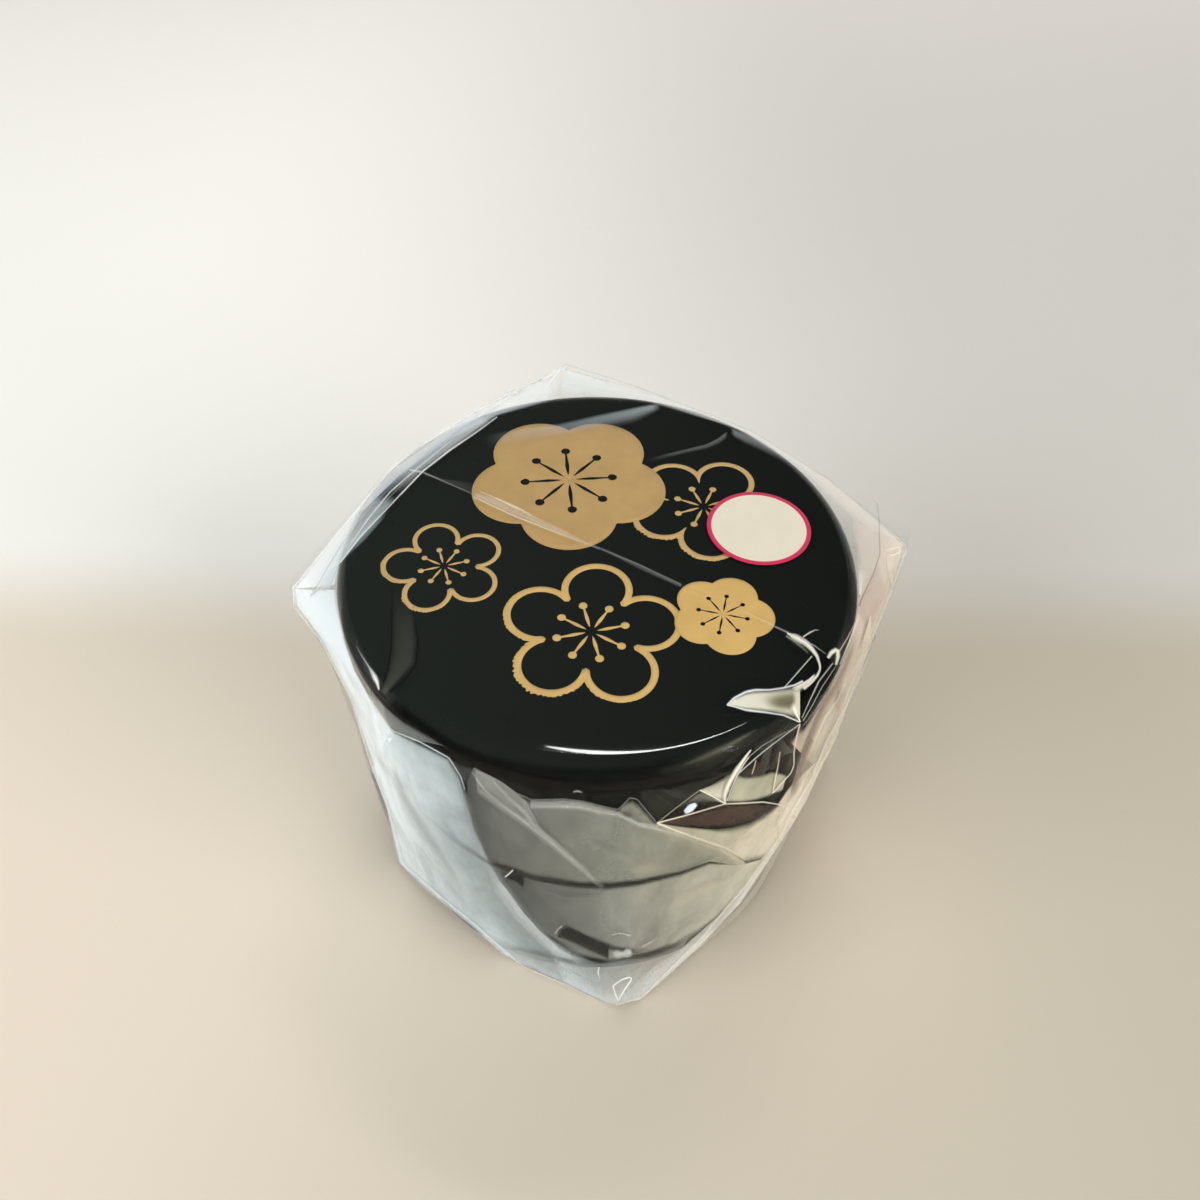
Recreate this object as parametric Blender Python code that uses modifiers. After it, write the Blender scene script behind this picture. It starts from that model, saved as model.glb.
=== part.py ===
# Round two-tier food box in black gloss plastic, gold plum blossoms printed on its lid, in a clear film bag.
# Metres, +Z up. The origin is on the box's axis, on the plane that the lower tier's foot stands on.

import math

import bmesh
import bpy
import numpy as np
from mathutils import Matrix

# Gap kept where one piece rests on another
SEAT_GAP = 0.0003

# Lid: a plate with a rounded shoulder, an outer skirt over the tier and a locating rib inside the tier's lip
LID_DIAMETER = 0.1520
LID_HEIGHT = 0.0084
LID_PLATE = 0.0020
LID_SKIRT = 0.0024
LID_SHOULDER = 0.0051
LID_CLEARANCE = 0.0006
RIB_DEPTH = 0.0030
RIB_WALL = 0.0012
RIB_CLEARANCE = 0.0006

# Tier: both are one moulding. A stepped lip on top fits inside the foot of the tier above, or inside the lid
TIER_HEIGHT = 0.0620
TIER_WALL = 0.0026
TIER_DRAFT = 0.0004
FLOOR_THICKNESS = 0.0020
FLOOR_FILLET = 0.0050
FLOOR_CLEARANCE = 0.0006
LIP_STEP = 0.0015
LIP_HEIGHT = 0.0040
FOOT_CLEARANCE = 0.0004
GATE_MARK_DIAMETER = 0.0120
GATE_MARK_DEPTH = 0.0005
EDGE_CHAMFER = 0.0004

# Gold blossoms on the lid. A blossom's other sizes are shares of its reach, from its centre to a petal's tip
PRINT_THICKNESS = 0.0002
LINE_SHARE = 0.078
STAMEN_START_SHARE = 0.065
STAMEN_HEAD_SHARE = 0.047
STAMEN_BELLY_SHARE = 0.021
STAMEN_NECK_SHARE = 0.011
PETALS = 5
STAMENS = 8
# Along a stamen, from its start to its head, where it is widest and where its neck ends
BELLY_PLACE_SHARE = 0.40
NECK_PLACE_SHARE = 0.80
# A blossom is placed by shares of the lid's radius, or beside one that it overlaps, at beside_turn from it.
# A filled blossom lies over the line blossom beside it, which keeps clear_share of its own reach uncovered
BLOSSOMS = {
    "large": {
        "reach": 0.0307, "place_shares": (-0.126, 0.391), "notch_share": 0.79, "filled": True,
        "petal_turn": -88, "stamen_turn": 96.3, "stamen_share": 0.445,
    },
    "right": {
        "reach": 0.0228, "beside": "large", "beside_turn": -14.9, "clear_share": 0.537, "notch_share": 0.70,
        "filled": False, "cover": "large", "petal_turn": 58, "stamen_turn": 112, "stamen_share": 0.370,
    },
    "middle": {
        "reach": 0.0255, "place_shares": (-0.019, -0.417), "clear_share": 0.884, "notch_share": 0.66,
        "filled": False, "cover": "small", "petal_turn": 85, "stamen_turn": 104.6, "stamen_share": 0.374,
    },
    "small": {
        "reach": 0.0144, "beside": "middle", "beside_turn": 11.1, "notch_share": 0.81, "filled": True,
        "petal_turn": -79, "stamen_turn": 77.3, "stamen_share": 0.473,
    },
    "left": {
        "reach": 0.0180, "place_shares": (-0.581, -0.110), "notch_share": 0.64, "filled": False,
        "petal_turn": 108, "stamen_turn": 108.1, "stamen_share": 0.369,
    },
}

# Clear film bag pulled down over the box, open underneath. Its four ears stand out at the flat film's folds
FILM_THICKNESS = 0.0004
HEM_HEIGHT = 0.0006
EAR_REACH = 0.0176
EAR_TURNS = (8, 98, 188, 278)
EAR_LEANS = (0, 0, 19, 0)
# Down the bag, as a share of its height, and how far each ear stands out there, as a share of EAR_REACH
EAR_DEPTH_SHARES = (0.0, 0.045, 0.25, 0.47, 0.65, 0.85, 1.0)
EAR_REACH_SHARES = (
    (1.05, 1.05, 1.05, 1.04, 1.03, 1.01, 0.95),
    (0.80, 0.79, 0.75, 0.66, 0.52, 0.40, 0.30),
    (0.99, 0.95, 0.33, 0.16, 0.12, 0.08, 0.10),
    (0.00, 0.02, 0.10, 0.25, 0.42, 0.57, 0.67),
)

# Round paper sticker on the bag, with nothing printed on it
STICKER_DIAMETER = 0.0310
STICKER_THICKNESS = 0.0002
STICKER_PLACE_SHARES = (0.629, 0.122)

# How finely round forms are cut
ROUND_STEPS = 64
SHOULDER_STEPS = 5
FILLET_STEPS = 3
PETAL_STEPS = 8
HEAD_STEPS = 5
STICKER_STEPS = 32
SMOOTH_ANGLE = math.radians(30)

# Sizes that follow from those above
lid_radius = LID_DIAMETER / 2
lid_bore = lid_radius - LID_SKIRT
tier_radius = lid_bore - LID_CLEARANCE
cavity_radius = tier_radius - TIER_WALL
lip_radius = tier_radius - LIP_STEP
foot_bore = lip_radius + FOOT_CLEARANCE
floor_underside = LIP_HEIGHT + FLOOR_CLEARANCE
floor_top = floor_underside + FLOOR_THICKNESS
tier_pitch = TIER_HEIGHT + SEAT_GAP
lid_underside = tier_pitch + TIER_HEIGHT + LIP_HEIGHT + SEAT_GAP
lid_top = lid_underside + LID_PLATE
print_base = lid_top + SEAT_GAP
film_stand_off = SEAT_GAP + PRINT_THICKNESS + SEAT_GAP
film_top = lid_top + film_stand_off
film_radius = lid_radius + film_stand_off
sticker_base = film_top + FILM_THICKNESS + SEAT_GAP


def clear_scene():
    for old in list(bpy.data.objects):
        bpy.data.objects.remove(old)


def make_collection(name):
    collection = bpy.data.collections.new(name)
    bpy.context.scene.collection.children.link(collection)
    return collection


def make_material(name, colour, roughness, metallic=0.0, alpha=1.0):
    material = bpy.data.materials.new(name)
    material.use_nodes = True
    shader = material.node_tree.nodes["Principled BSDF"]
    shader.inputs["Base Color"].default_value = (*colour, 1.0)
    shader.inputs["Roughness"].default_value = roughness
    shader.inputs["Metallic"].default_value = metallic
    shader.inputs["Alpha"].default_value = alpha
    return material


def add_object(name, data, collection):
    piece = bpy.data.objects.new(name, data)
    collection.objects.link(piece)
    return piece


def evaluated_mesh(piece):
    bpy.context.view_layer.update()
    graph = bpy.context.evaluated_depsgraph_get()
    return bpy.data.meshes.new_from_object(piece.evaluated_get(graph))


def bake_smooth(piece, material):
    """Keeps the shape that the modifiers give, shades all but its hard edges smooth and sets its material."""
    mesh = evaluated_mesh(piece)
    piece.modifiers.clear()
    piece.data = mesh
    mesh.shade_smooth()
    mesh.set_sharp_from_angle(angle=SMOOTH_ANGLE)
    mesh.materials.clear()
    mesh.materials.append(material)


def arc(centre_r, centre_z, radius, first, last, steps):
    """Points (r, z) on an arc from the angle first to the angle last, in degrees."""
    angles = np.radians(np.linspace(first, last, steps + 1))
    return [(centre_r + radius * math.cos(a), centre_z + radius * math.sin(a)) for a in angles]


def turned(name, profile, collection):
    """A body of revolution about Z. The profile starts and ends on the axis and runs down its outer side."""
    mesh = bpy.data.meshes.new(name)
    edges = [(i, i + 1) for i in range(len(profile) - 1)]
    mesh.from_pydata([(r, 0, z) for r, z in profile], edges, [])
    piece = add_object(name, mesh, collection)
    screw = piece.modifiers.new("Turn", "SCREW")
    screw.steps = ROUND_STEPS
    screw.render_steps = ROUND_STEPS
    screw.use_merge_vertices = True
    screw.merge_threshold = SEAT_GAP / 3
    return piece


def tier_profile():
    """Cavity from its centre out, up the drafted wall, over the lip, down outside and in under the floor."""
    lip_top = TIER_HEIGHT + LIP_HEIGHT
    floor_radius = cavity_radius - TIER_DRAFT
    gate_radius = GATE_MARK_DIAMETER / 2
    inside = [(0, floor_top)]
    inside += arc(floor_radius - FLOOR_FILLET, floor_top + FLOOR_FILLET, FLOOR_FILLET, -90, 0, FILLET_STEPS)
    lip = [
        (cavity_radius, lip_top - EDGE_CHAMFER),
        (cavity_radius + EDGE_CHAMFER, lip_top),
        (lip_radius - EDGE_CHAMFER, lip_top),
        (lip_radius, lip_top - EDGE_CHAMFER),
        (lip_radius, TIER_HEIGHT),
    ]
    outside = [
        (tier_radius - EDGE_CHAMFER, TIER_HEIGHT),
        (tier_radius, TIER_HEIGHT - EDGE_CHAMFER),
        (tier_radius, EDGE_CHAMFER),
        (tier_radius - EDGE_CHAMFER, 0),
    ]
    foot = [
        (foot_bore, 0),
        (foot_bore, floor_underside - EDGE_CHAMFER),
        (foot_bore - EDGE_CHAMFER, floor_underside),
        (gate_radius, floor_underside),
        (gate_radius - GATE_MARK_DEPTH, floor_underside + GATE_MARK_DEPTH),
        (0, floor_underside + GATE_MARK_DEPTH),
    ]
    return inside + lip + outside + foot


def lid_profile():
    """Top from its centre out, round the shoulder, down the skirt and back past the rib. Zero is the top."""
    inner_fillet = LID_SHOULDER - LID_SKIRT
    rib_outer = cavity_radius - RIB_CLEARANCE
    rib_inner = rib_outer - RIB_WALL
    top = [(0, 0)]
    top += arc(lid_radius - LID_SHOULDER, -LID_SHOULDER, LID_SHOULDER, 90, 0, SHOULDER_STEPS)
    rim = [
        (lid_radius, EDGE_CHAMFER - LID_HEIGHT),
        (lid_radius - EDGE_CHAMFER, -LID_HEIGHT),
        (lid_bore + EDGE_CHAMFER, -LID_HEIGHT),
        (lid_bore, EDGE_CHAMFER - LID_HEIGHT),
    ]
    inside = arc(lid_bore - inner_fillet, -LID_PLATE - inner_fillet, inner_fillet, 0, 90, FILLET_STEPS)
    rib = [
        (rib_outer, -LID_PLATE),
        (rib_outer, -LID_PLATE - RIB_DEPTH),
        (rib_inner, -LID_PLATE - RIB_DEPTH),
        (rib_inner, -LID_PLATE),
        (0, -LID_PLATE),
    ]
    return top + rim + inside + rib


def petal_outline(blossom, inset):
    """The closed outline of a blossom, moved inwards by inset.

    Each petal is an arc of a circle through its tip and the two notches beside it. Moved inwards, the petal's
    circle shrinks and the notch moves towards the centre, so that a line keeps its width.
    """
    tip = blossom["reach"]
    notch = tip * blossom["notch_share"]
    half = math.pi / PETALS
    centre = (tip**2 - notch**2) / (2 * (tip - notch * math.cos(half)))
    petal = tip - centre
    rise = math.atan2(notch * math.sin(half), notch * math.cos(half) - centre)
    points = []
    for number in range(PETALS):
        turn = math.radians(blossom["petal_turn"]) + 2 * half * number
        hub = centre * np.array([math.cos(turn), math.sin(turn)])
        notch_point = notch * np.array([math.cos(turn + half), math.sin(turn + half)])
        for angle in np.linspace(-rise, rise, PETAL_STEPS + 1):
            reach = petal - inset
            points.append(hub + reach * np.array([math.cos(turn + angle), math.sin(turn + angle)]))
        if inset <= 0:
            points.pop()
            continue
        inward = turn + half + math.pi
        points.append(notch_point + inset * np.array([math.cos(inward), math.sin(inward)]))
    return points


def stamen_outline(blossom, number):
    """A thin spindle that starts near the blossom's centre and ends in a round head."""
    reach = blossom["reach"]
    start = reach * STAMEN_START_SHARE
    end = reach * blossom["stamen_share"]
    belly_place = start + (end - start) * BELLY_PLACE_SHARE
    neck_place = start + (end - start) * NECK_PLACE_SHARE
    head = reach * STAMEN_HEAD_SHARE
    belly = reach * STAMEN_BELLY_SHARE
    neck = reach * STAMEN_NECK_SHARE
    side = [(belly_place, belly), (neck_place, neck)]
    opening = 180 - math.degrees(math.asin(neck / head))
    round_head = arc(end, 0, head, opening, -opening, HEAD_STEPS)
    outline = [(start, 0)] + side + round_head + [(x, -y) for x, y in reversed(side)]
    turn = math.radians(blossom["stamen_turn"]) - 2 * math.pi * number / STAMENS
    rotation = np.array([[math.cos(turn), -math.sin(turn)], [math.sin(turn), math.cos(turn)]])
    return [rotation @ point for point in np.array(outline)]


def flat_piece(name, outlines, thickness, collection):
    """A flat piece from closed outlines: one inside another is a hole, and one inside a hole is solid."""
    curve = bpy.data.curves.new(name, "CURVE")
    curve.dimensions = "2D"
    curve.fill_mode = "BOTH"
    curve.extrude = thickness / 2
    for outline in outlines:
        spline = curve.splines.new("POLY")
        spline.points.add(len(outline) - 1)
        for point, place in zip(spline.points, outline):
            point.co = (*place, 0, 1)
        spline.use_cyclic_u = True
    drawn = add_object(name + "_curve", curve, collection)
    mesh = evaluated_mesh(drawn)
    bpy.data.objects.remove(drawn)
    weld(mesh)
    return add_object(name, mesh, collection)


def weld(mesh):
    """Closes the seams between a curve's caps and its sides."""
    shell = bmesh.new()
    shell.from_mesh(mesh)
    bmesh.ops.remove_doubles(shell, verts=shell.verts, dist=PRINT_THICKNESS / 20)
    bmesh.ops.recalc_face_normals(shell, faces=shell.faces)
    shell.to_mesh(mesh)
    shell.free()


def blossom_place(blossom):
    """The centre of a blossom on the lid. One beside another takes its place from both their reaches."""
    if "beside" not in blossom:
        return lid_radius * np.array(blossom["place_shares"])
    beside = BLOSSOMS[blossom["beside"]]
    line, filled = (beside, blossom) if blossom["filled"] else (blossom, beside)
    away = filled["reach"] + line["reach"] * line["clear_share"]
    turn = math.radians(blossom["beside_turn"])
    return blossom_place(beside) + away * np.array([math.cos(turn), math.sin(turn)])


def placed_outline(blossom, inset):
    return [point + blossom_place(blossom) for point in petal_outline(blossom, inset)]


def blossom_outlines(blossom):
    """A filled blossom leaves its stamens out of the gold. A line blossom is the band between two outlines."""
    outlines = [placed_outline(blossom, 0)]
    if not blossom["filled"]:
        return outlines + [placed_outline(blossom, blossom["reach"] * LINE_SHARE)]
    for number in range(STAMENS):
        outlines.append([point + blossom_place(blossom) for point in stamen_outline(blossom, number)])
    return outlines


def printed_blossom(name, parts, cutters):
    """One blossom as a thin layer of print. A line blossom stops short of the filled one that covers it."""
    blossom = BLOSSOMS[name]
    piece = flat_piece("blossom_" + name, blossom_outlines(blossom), PRINT_THICKNESS, parts)
    if "cover" in blossom:
        over = placed_outline(BLOSSOMS[blossom["cover"]], -SEAT_GAP)
        cutter = flat_piece(name + "_cover_cutter", [over], 3 * PRINT_THICKNESS, cutters)
        cutter.hide_render = True
        cutter.display_type = "WIRE"
        cut = piece.modifiers.new("Covered", "BOOLEAN")
        cut.operation = "DIFFERENCE"
        cut.object = cutter
    return piece


def film_rings():
    """Rings of the bag's inner face, from the top down, as an array of points.

    Each ring is a circle round the box with taut film running off it to each ear. Between an ear's tip and the
    circle the film is straight, so at the angle d from the ear it lies at body / cos(beta - d), where cos(beta)
    is body / tip. An ear with a lean turns round the box by that many degrees on its way down.
    """
    height = film_top - HEM_HEIGHT
    shoulder = LID_SHOULDER + film_stand_off
    bend = np.radians(np.linspace(0, 90, SHOULDER_STEPS + 1))
    depths = np.concatenate([shoulder * (1 - np.cos(bend)), height * np.array(EAR_DEPTH_SHARES[2:])])
    bodies = np.full(len(depths), film_radius)
    bodies[: len(bend)] -= shoulder * (1 - np.sin(bend))
    turns = np.radians(EAR_TURNS[0] + np.arange(ROUND_STEPS) * 360 / ROUND_STEPS)
    rings = []
    for depth, body in zip(depths, bodies):
        reach = np.full(ROUND_STEPS, body)
        for ear_turn, lean, shares in zip(EAR_TURNS, EAR_LEANS, EAR_REACH_SHARES):
            tip = body + EAR_REACH * np.interp(depth / height, EAR_DEPTH_SHARES, shares)
            beta = math.acos(body / tip)
            ear = math.radians(ear_turn + lean * depth / height)
            away = np.abs((turns - ear + math.pi) % (2 * math.pi) - math.pi)
            reach = np.maximum(reach, np.where(away < beta, body / np.cos(beta - away), body))
        level = np.full(ROUND_STEPS, film_top - depth)
        rings.append(np.stack([reach * np.cos(turns), reach * np.sin(turns), level], axis=1))
    return np.array(rings)


def film_bag(collection):
    """The bag as a loft through its rings, closed on top by a fan, and given its thickness outwards."""
    shell = bmesh.new()
    rings = [[shell.verts.new(point) for point in ring] for ring in film_rings()]
    hub = shell.verts.new((0, 0, film_top))
    for upper, lower in zip(rings, rings[1:]):
        for i in range(ROUND_STEPS):
            after = (i + 1) % ROUND_STEPS
            shell.faces.new((upper[i], lower[i], lower[after], upper[after]))
    for i in range(ROUND_STEPS):
        shell.faces.new((hub, rings[0][i], rings[0][(i + 1) % ROUND_STEPS]))
    mesh = bpy.data.meshes.new("film_bag")
    shell.to_mesh(mesh)
    shell.free()
    piece = add_object("film_bag", mesh, collection)
    wall = piece.modifiers.new("Wall", "SOLIDIFY")
    wall.thickness = FILM_THICKNESS
    wall.offset = 1
    return piece


def round_sticker(collection):
    disc = bmesh.new()
    radius = STICKER_DIAMETER / 2
    bmesh.ops.create_cone(
        disc, cap_ends=True, segments=STICKER_STEPS, radius1=radius, radius2=radius, depth=STICKER_THICKNESS
    )
    mesh = bpy.data.meshes.new("round_sticker")
    disc.to_mesh(mesh)
    disc.free()
    return add_object("round_sticker", mesh, collection)


def place(piece, parent, x, y, z):
    """Puts a piece at a place in the world and hangs it on the piece that carries it."""
    piece.matrix_world = Matrix.Translation((x, y, z))
    bpy.context.view_layer.update()
    if parent:
        piece.parent = parent
        piece.matrix_parent_inverse = parent.matrix_world.inverted()


def build():
    clear_scene()
    parts = make_collection("jubako")
    cutters = make_collection("cutters")
    cutters.hide_render = True
    black = make_material("black_gloss_plastic", (0.008, 0.010, 0.009), 0.12)
    gold = make_material("gold_print", (0.55, 0.36, 0.15), 0.45, metallic=0.4)
    film = make_material("clear_film", (0.90, 0.92, 0.93), 0.10, alpha=0.25)
    paper = make_material("white_sticker_paper", (0.90, 0.86, 0.82), 0.50)

    lower_tier = turned("lower_tier", tier_profile(), parts)
    upper_tier = turned("upper_tier", tier_profile(), parts)
    lid = turned("lid", lid_profile(), parts)
    blossoms = [printed_blossom(name, parts, cutters) for name in BLOSSOMS]
    bag = film_bag(parts)
    sticker = round_sticker(parts)

    sticker_x, sticker_y = lid_radius * np.array(STICKER_PLACE_SHARES)
    place(lower_tier, None, 0, 0, 0)
    place(upper_tier, lower_tier, 0, 0, tier_pitch)
    place(lid, upper_tier, 0, 0, lid_top)
    place(bag, lid, 0, 0, 0)
    place(sticker, bag, sticker_x, sticker_y, sticker_base + STICKER_THICKNESS / 2)

    for piece in (lower_tier, upper_tier, lid):
        bake_smooth(piece, black)
    for piece in blossoms:
        bake_smooth(piece, gold)
        place(piece, lid, 0, 0, print_base + PRINT_THICKNESS / 2)
    bake_smooth(bag, film)
    bake_smooth(sticker, paper)


build()
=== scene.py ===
# Round two-tier food box in black gloss plastic, gold plum blossoms on its lid, in a clear film bag with a
# sticker. Every length is in metres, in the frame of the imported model. Azimuths turn from +X towards +Y.
import math

import bmesh
import bpy
import numpy as np
from mathutils import Matrix, Vector


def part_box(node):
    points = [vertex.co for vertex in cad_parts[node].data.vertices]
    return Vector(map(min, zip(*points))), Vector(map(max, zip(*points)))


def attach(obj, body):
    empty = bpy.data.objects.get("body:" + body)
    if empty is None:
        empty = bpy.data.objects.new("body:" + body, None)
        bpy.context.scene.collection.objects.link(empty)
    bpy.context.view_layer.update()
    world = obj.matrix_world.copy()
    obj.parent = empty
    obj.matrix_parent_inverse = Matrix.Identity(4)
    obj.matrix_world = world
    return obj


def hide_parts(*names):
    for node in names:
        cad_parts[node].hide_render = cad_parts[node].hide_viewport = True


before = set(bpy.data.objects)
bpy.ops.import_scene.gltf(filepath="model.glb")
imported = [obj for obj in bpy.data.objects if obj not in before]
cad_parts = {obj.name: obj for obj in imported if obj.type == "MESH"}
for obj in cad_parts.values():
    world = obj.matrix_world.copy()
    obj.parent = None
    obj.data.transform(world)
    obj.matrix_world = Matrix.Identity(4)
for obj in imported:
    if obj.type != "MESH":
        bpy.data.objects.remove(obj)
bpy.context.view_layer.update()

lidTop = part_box("lid")[1].z
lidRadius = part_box("lid")[1].x
print("frame loaded, lid top at", round(lidTop, 4))


# camera, fitted to the photograph's lid and blossoms
shot = {
    "pixels": 1200,
    "focalPixels": 985.636,
    "sensor": 36.0,
    "elevation": 45.530,
    "roll": 0.01985,
    "yaw": -0.00291,
    "pitch": 0.05219,
    "distance": 3.80019,  # from the centre of the lid's top, in lid radii
    "clip": (0.01, 60),
}


# Where the camera stands, and its right, down and forward directions as the rows of an array
def cameraPose():
    lift = math.radians(shot["elevation"])
    away = np.array([0, -math.cos(lift), math.sin(lift)])
    right = np.array([1.0, 0, 0])
    aimed = np.stack([right, np.cross(-away, right), -away])
    roll, yaw = Matrix.Rotation(shot["roll"], 3, "Z"), Matrix.Rotation(shot["yaw"], 3, "Y")
    turned = np.array(roll @ yaw @ Matrix.Rotation(shot["pitch"], 3, "X"))
    return away * shot["distance"] * lidRadius + np.array([0, 0, lidTop]), turned @ aimed


cameraPlace, cameraAxes = cameraPose()


# The direction, in the frame, in which each pixel of the photograph looks
def photoRays(pixels):
    pixels = np.asarray(pixels, float)
    middle = shot["pixels"] / 2
    flat = (pixels - middle) / shot["focalPixels"]
    rays = np.concatenate([flat, np.ones(flat.shape[:-1] + (1,))], -1) @ cameraAxes
    return rays / np.linalg.norm(rays, axis=-1, keepdims=True)


def makeCamera():
    data = bpy.data.cameras.new("photoCamera")
    data.sensor_width = shot["sensor"]
    data.lens = shot["focalPixels"] / shot["pixels"] * shot["sensor"]
    data.clip_start, data.clip_end = shot["clip"]
    camera = bpy.data.objects.new("photoCamera", data)
    bpy.context.scene.collection.objects.link(camera)
    right, down, forward = cameraAxes
    pose = np.eye(4)
    pose[:3] = np.column_stack([right, -down, -forward, cameraPlace])
    camera.matrix_world = Matrix(pose.tolist())
    bpy.context.scene.camera = camera


makeCamera()
print("camera made")


# shader maths
# A shader socket that takes part in Python sums. Each sum adds a Math node
class Link:
    def __init__(self, paint, socket):
        self.paint, self.socket = paint, socket

    def maths(self, operation, *values):
        return self.paint.node("ShaderNodeMath", {"operation": operation}, dict(enumerate(values)))[0]

    def __add__(self, other):
        return self.maths("ADD", self, other)

    def __sub__(self, other):
        return self.maths("SUBTRACT", self, other)

    def __mul__(self, other):
        return self.maths("MULTIPLY", self, other)

    def __truediv__(self, other):
        return self.maths("DIVIDE", self, other)

    def __pow__(self, other):
        return self.maths("POWER", self, other)

    def __rsub__(self, other):
        return self.maths("SUBTRACT", other, self)

    def __rtruediv__(self, other):
        return self.maths("DIVIDE", other, self)

    __radd__ = __add__
    __rmul__ = __mul__

    def clamped(self):
        return self.maths("MINIMUM", self.maths("MAXIMUM", self, 0.0), 1.0)

    # 0 below low, 1 above high, smooth between
    def rising(self, low, high):
        share = self.paint.node(
            "ShaderNodeMapRange",
            {"interpolation_type": "SMOOTHSTEP"},
            {"Value": self, "From Min": low, "From Max": high, "To Min": 0.0, "To Max": 1.0},
        )
        return share["Result"]


# The outputs of a node, by name or number
class Outputs:
    def __init__(self, paint, made):
        self.paint, self.made = paint, made

    def __getitem__(self, name):
        return Link(self.paint, self.made.outputs[name])


# A node tree under construction
class Paint:
    def __init__(self, owner):
        owner.use_nodes = True
        self.owner, self.tree = owner, owner.node_tree
        self.tree.nodes.clear()

    def node(self, kind, settings=(), sockets=()):
        made = self.tree.nodes.new(kind)
        for name, value in dict(settings).items():
            setattr(made, name, value)
        for name, value in dict(sockets).items():
            if isinstance(value, Link):
                self.tree.links.new(value.socket, made.inputs[name])
            else:
                made.inputs[name].default_value = value
        return Outputs(self, made)

    def place(self):
        return self.node("ShaderNodeTexCoord")["Object"]

    def parts(self, vector):
        return self.node("ShaderNodeSeparateXYZ", (), {0: vector})

    def mapped(self, vector, scale, turn=(0, 0, 0)):
        sockets = {"Vector": vector, "Scale": scale, "Rotation": turn}
        return self.node("ShaderNodeMapping", (), sockets)["Vector"]

    def noise(self, vector, scale, detail=2.0, roughness=0.5, distortion=0.0):
        character = {"Detail": detail, "Roughness": roughness, "Distortion": distortion}
        return self.node("ShaderNodeTexNoise", (), {"Vector": vector, "Scale": scale, **character})["Fac"]

    def mix(self, share, first, second, blend="MIX"):
        first = first if isinstance(first, Link) else (*first, 1)
        second = second if isinstance(second, Link) else (*second, 1)
        # the colour sockets of a Mix node are 6 and 7, and its colour output is 2
        settings = {"data_type": "RGBA", "blend_type": blend}
        return self.node("ShaderNodeMix", settings, {0: share, 6: first, 7: second})[2]

    def bump(self, height, strength, distance):
        sockets = {"Height": height, "Strength": strength, "Distance": distance}
        return self.node("ShaderNodeBump", (), sockets)["Normal"]

    # A Principled BSDF. Its specular level, where one is given, is a constant
    def principled(self, sockets, specular=None):
        made = self.node("ShaderNodeBsdfPrincipled", (), sockets)
        if specular is not None:
            made.made.inputs["Specular IOR Level"].default_value = specular
        return made[0]

    def finish(self, shader):
        ending = "World" if isinstance(self.owner, bpy.types.World) else "Material"
        self.node("ShaderNodeOutput" + ending, (), {"Surface": shader})
        return self.owner


# A colour as a screen shows it, 0 to 255, as the light that a shader uses
def screen(red, green, blue):
    values = np.array([red, green, blue]) / 255
    light = np.where(values <= 0.04045, values / 12.92, ((values + 0.055) / 1.055) ** 2.4)
    return tuple(float(v) for v in light)


# mesh helpers
# Faces of a grid of rows by columns, as four corners each. A closed grid joins its last column to its first
def gridFaces(rows, columns, closed=False):
    across = np.arange(columns if closed else columns - 1)
    row = np.arange(rows - 1)[:, None] * columns
    after = (across + 1) % columns
    corners = [row + across, row + columns + across, row + columns + after, row + after]
    return np.stack(corners, -1).reshape(-1, 4)


# A piece from points and faces. Its place is in its mesh, and its object sits at the origin
def makePiece(name, points, faces, material, smooth=True):
    mesh = bpy.data.meshes.new(name)
    mesh.from_pydata(np.asarray(points).reshape(-1, 3).tolist(), [], faces)
    mesh.materials.append(material)
    if smooth:
        mesh.shade_smooth()
    mesh.validate()
    piece = bpy.data.objects.new(name, mesh)
    bpy.context.scene.collection.objects.link(piece)
    return piece


# Triangles from a ring's points, numbered from first, to the point hub. They turn over when back is true
def fan(hub, first, steps, back=False):
    spokes = first + np.arange(steps)
    after = first + (np.arange(steps) + 1) % steps
    return np.stack([np.full(steps, hub), *((after, spokes) if back else (spokes, after))], -1).tolist()


# A body of revolution: at the turn a, each point (r, z) of the profile lies at (r cos a, r sin a, z). The
# profile starts and ends on the axis, where its ring is one point
def turnedPiece(name, profile, steps, material):
    profile = np.array(profile)
    turns = np.linspace(0, 2 * math.pi, steps, endpoint=False)
    rings = profile[1:-1]
    radii, levels = rings[:, :1], rings[:, 1:]
    points = np.stack([radii * np.cos(turns), radii * np.sin(turns), levels + 0 * turns], -1).reshape(-1, 3)
    points = np.concatenate([points, [(0, 0, profile[0][1])], [(0, 0, profile[-1][1])]])
    faces = gridFaces(len(rings), steps, closed=True).tolist()
    faces += fan(len(points) - 2, 0, steps) + fan(len(points) - 1, (len(rings) - 1) * steps, steps, back=True)
    return makePiece(name, points, faces, material)


# A profile of corners (r, z, rounding). Each corner becomes a short curve, (1-t)^2 a + 2t(1-t) c + t^2 b
# between the points a and b where the rounding starts, with a ring beside each so that the flats stay flat
def roundedProfile(corners, steps=5, guard=0.00015):
    corners = [np.array(corner, float) for corner in corners]
    points = [corners[0][:2]]
    for before, here, after in zip(corners, corners[1:], corners[2:]):
        size = here[2]
        if size <= 0:
            points.append(here[:2])
            continue
        back, on = before[:2] - here[:2], after[:2] - here[:2]
        back, on = back / np.linalg.norm(back), on / np.linalg.norm(on)
        t = np.linspace(0, 1, steps + 1)[:, None]
        start, end = here[:2] + back * size, here[:2] + on * size
        curve = (1 - t) ** 2 * start + 2 * t * (1 - t) * here[:2] + t**2 * end
        points.append(here[:2] + back * (size + guard))
        points.extend(curve)
        points.append(here[:2] + on * (size + guard))
    points.append(corners[-1][:2])
    return points


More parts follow.
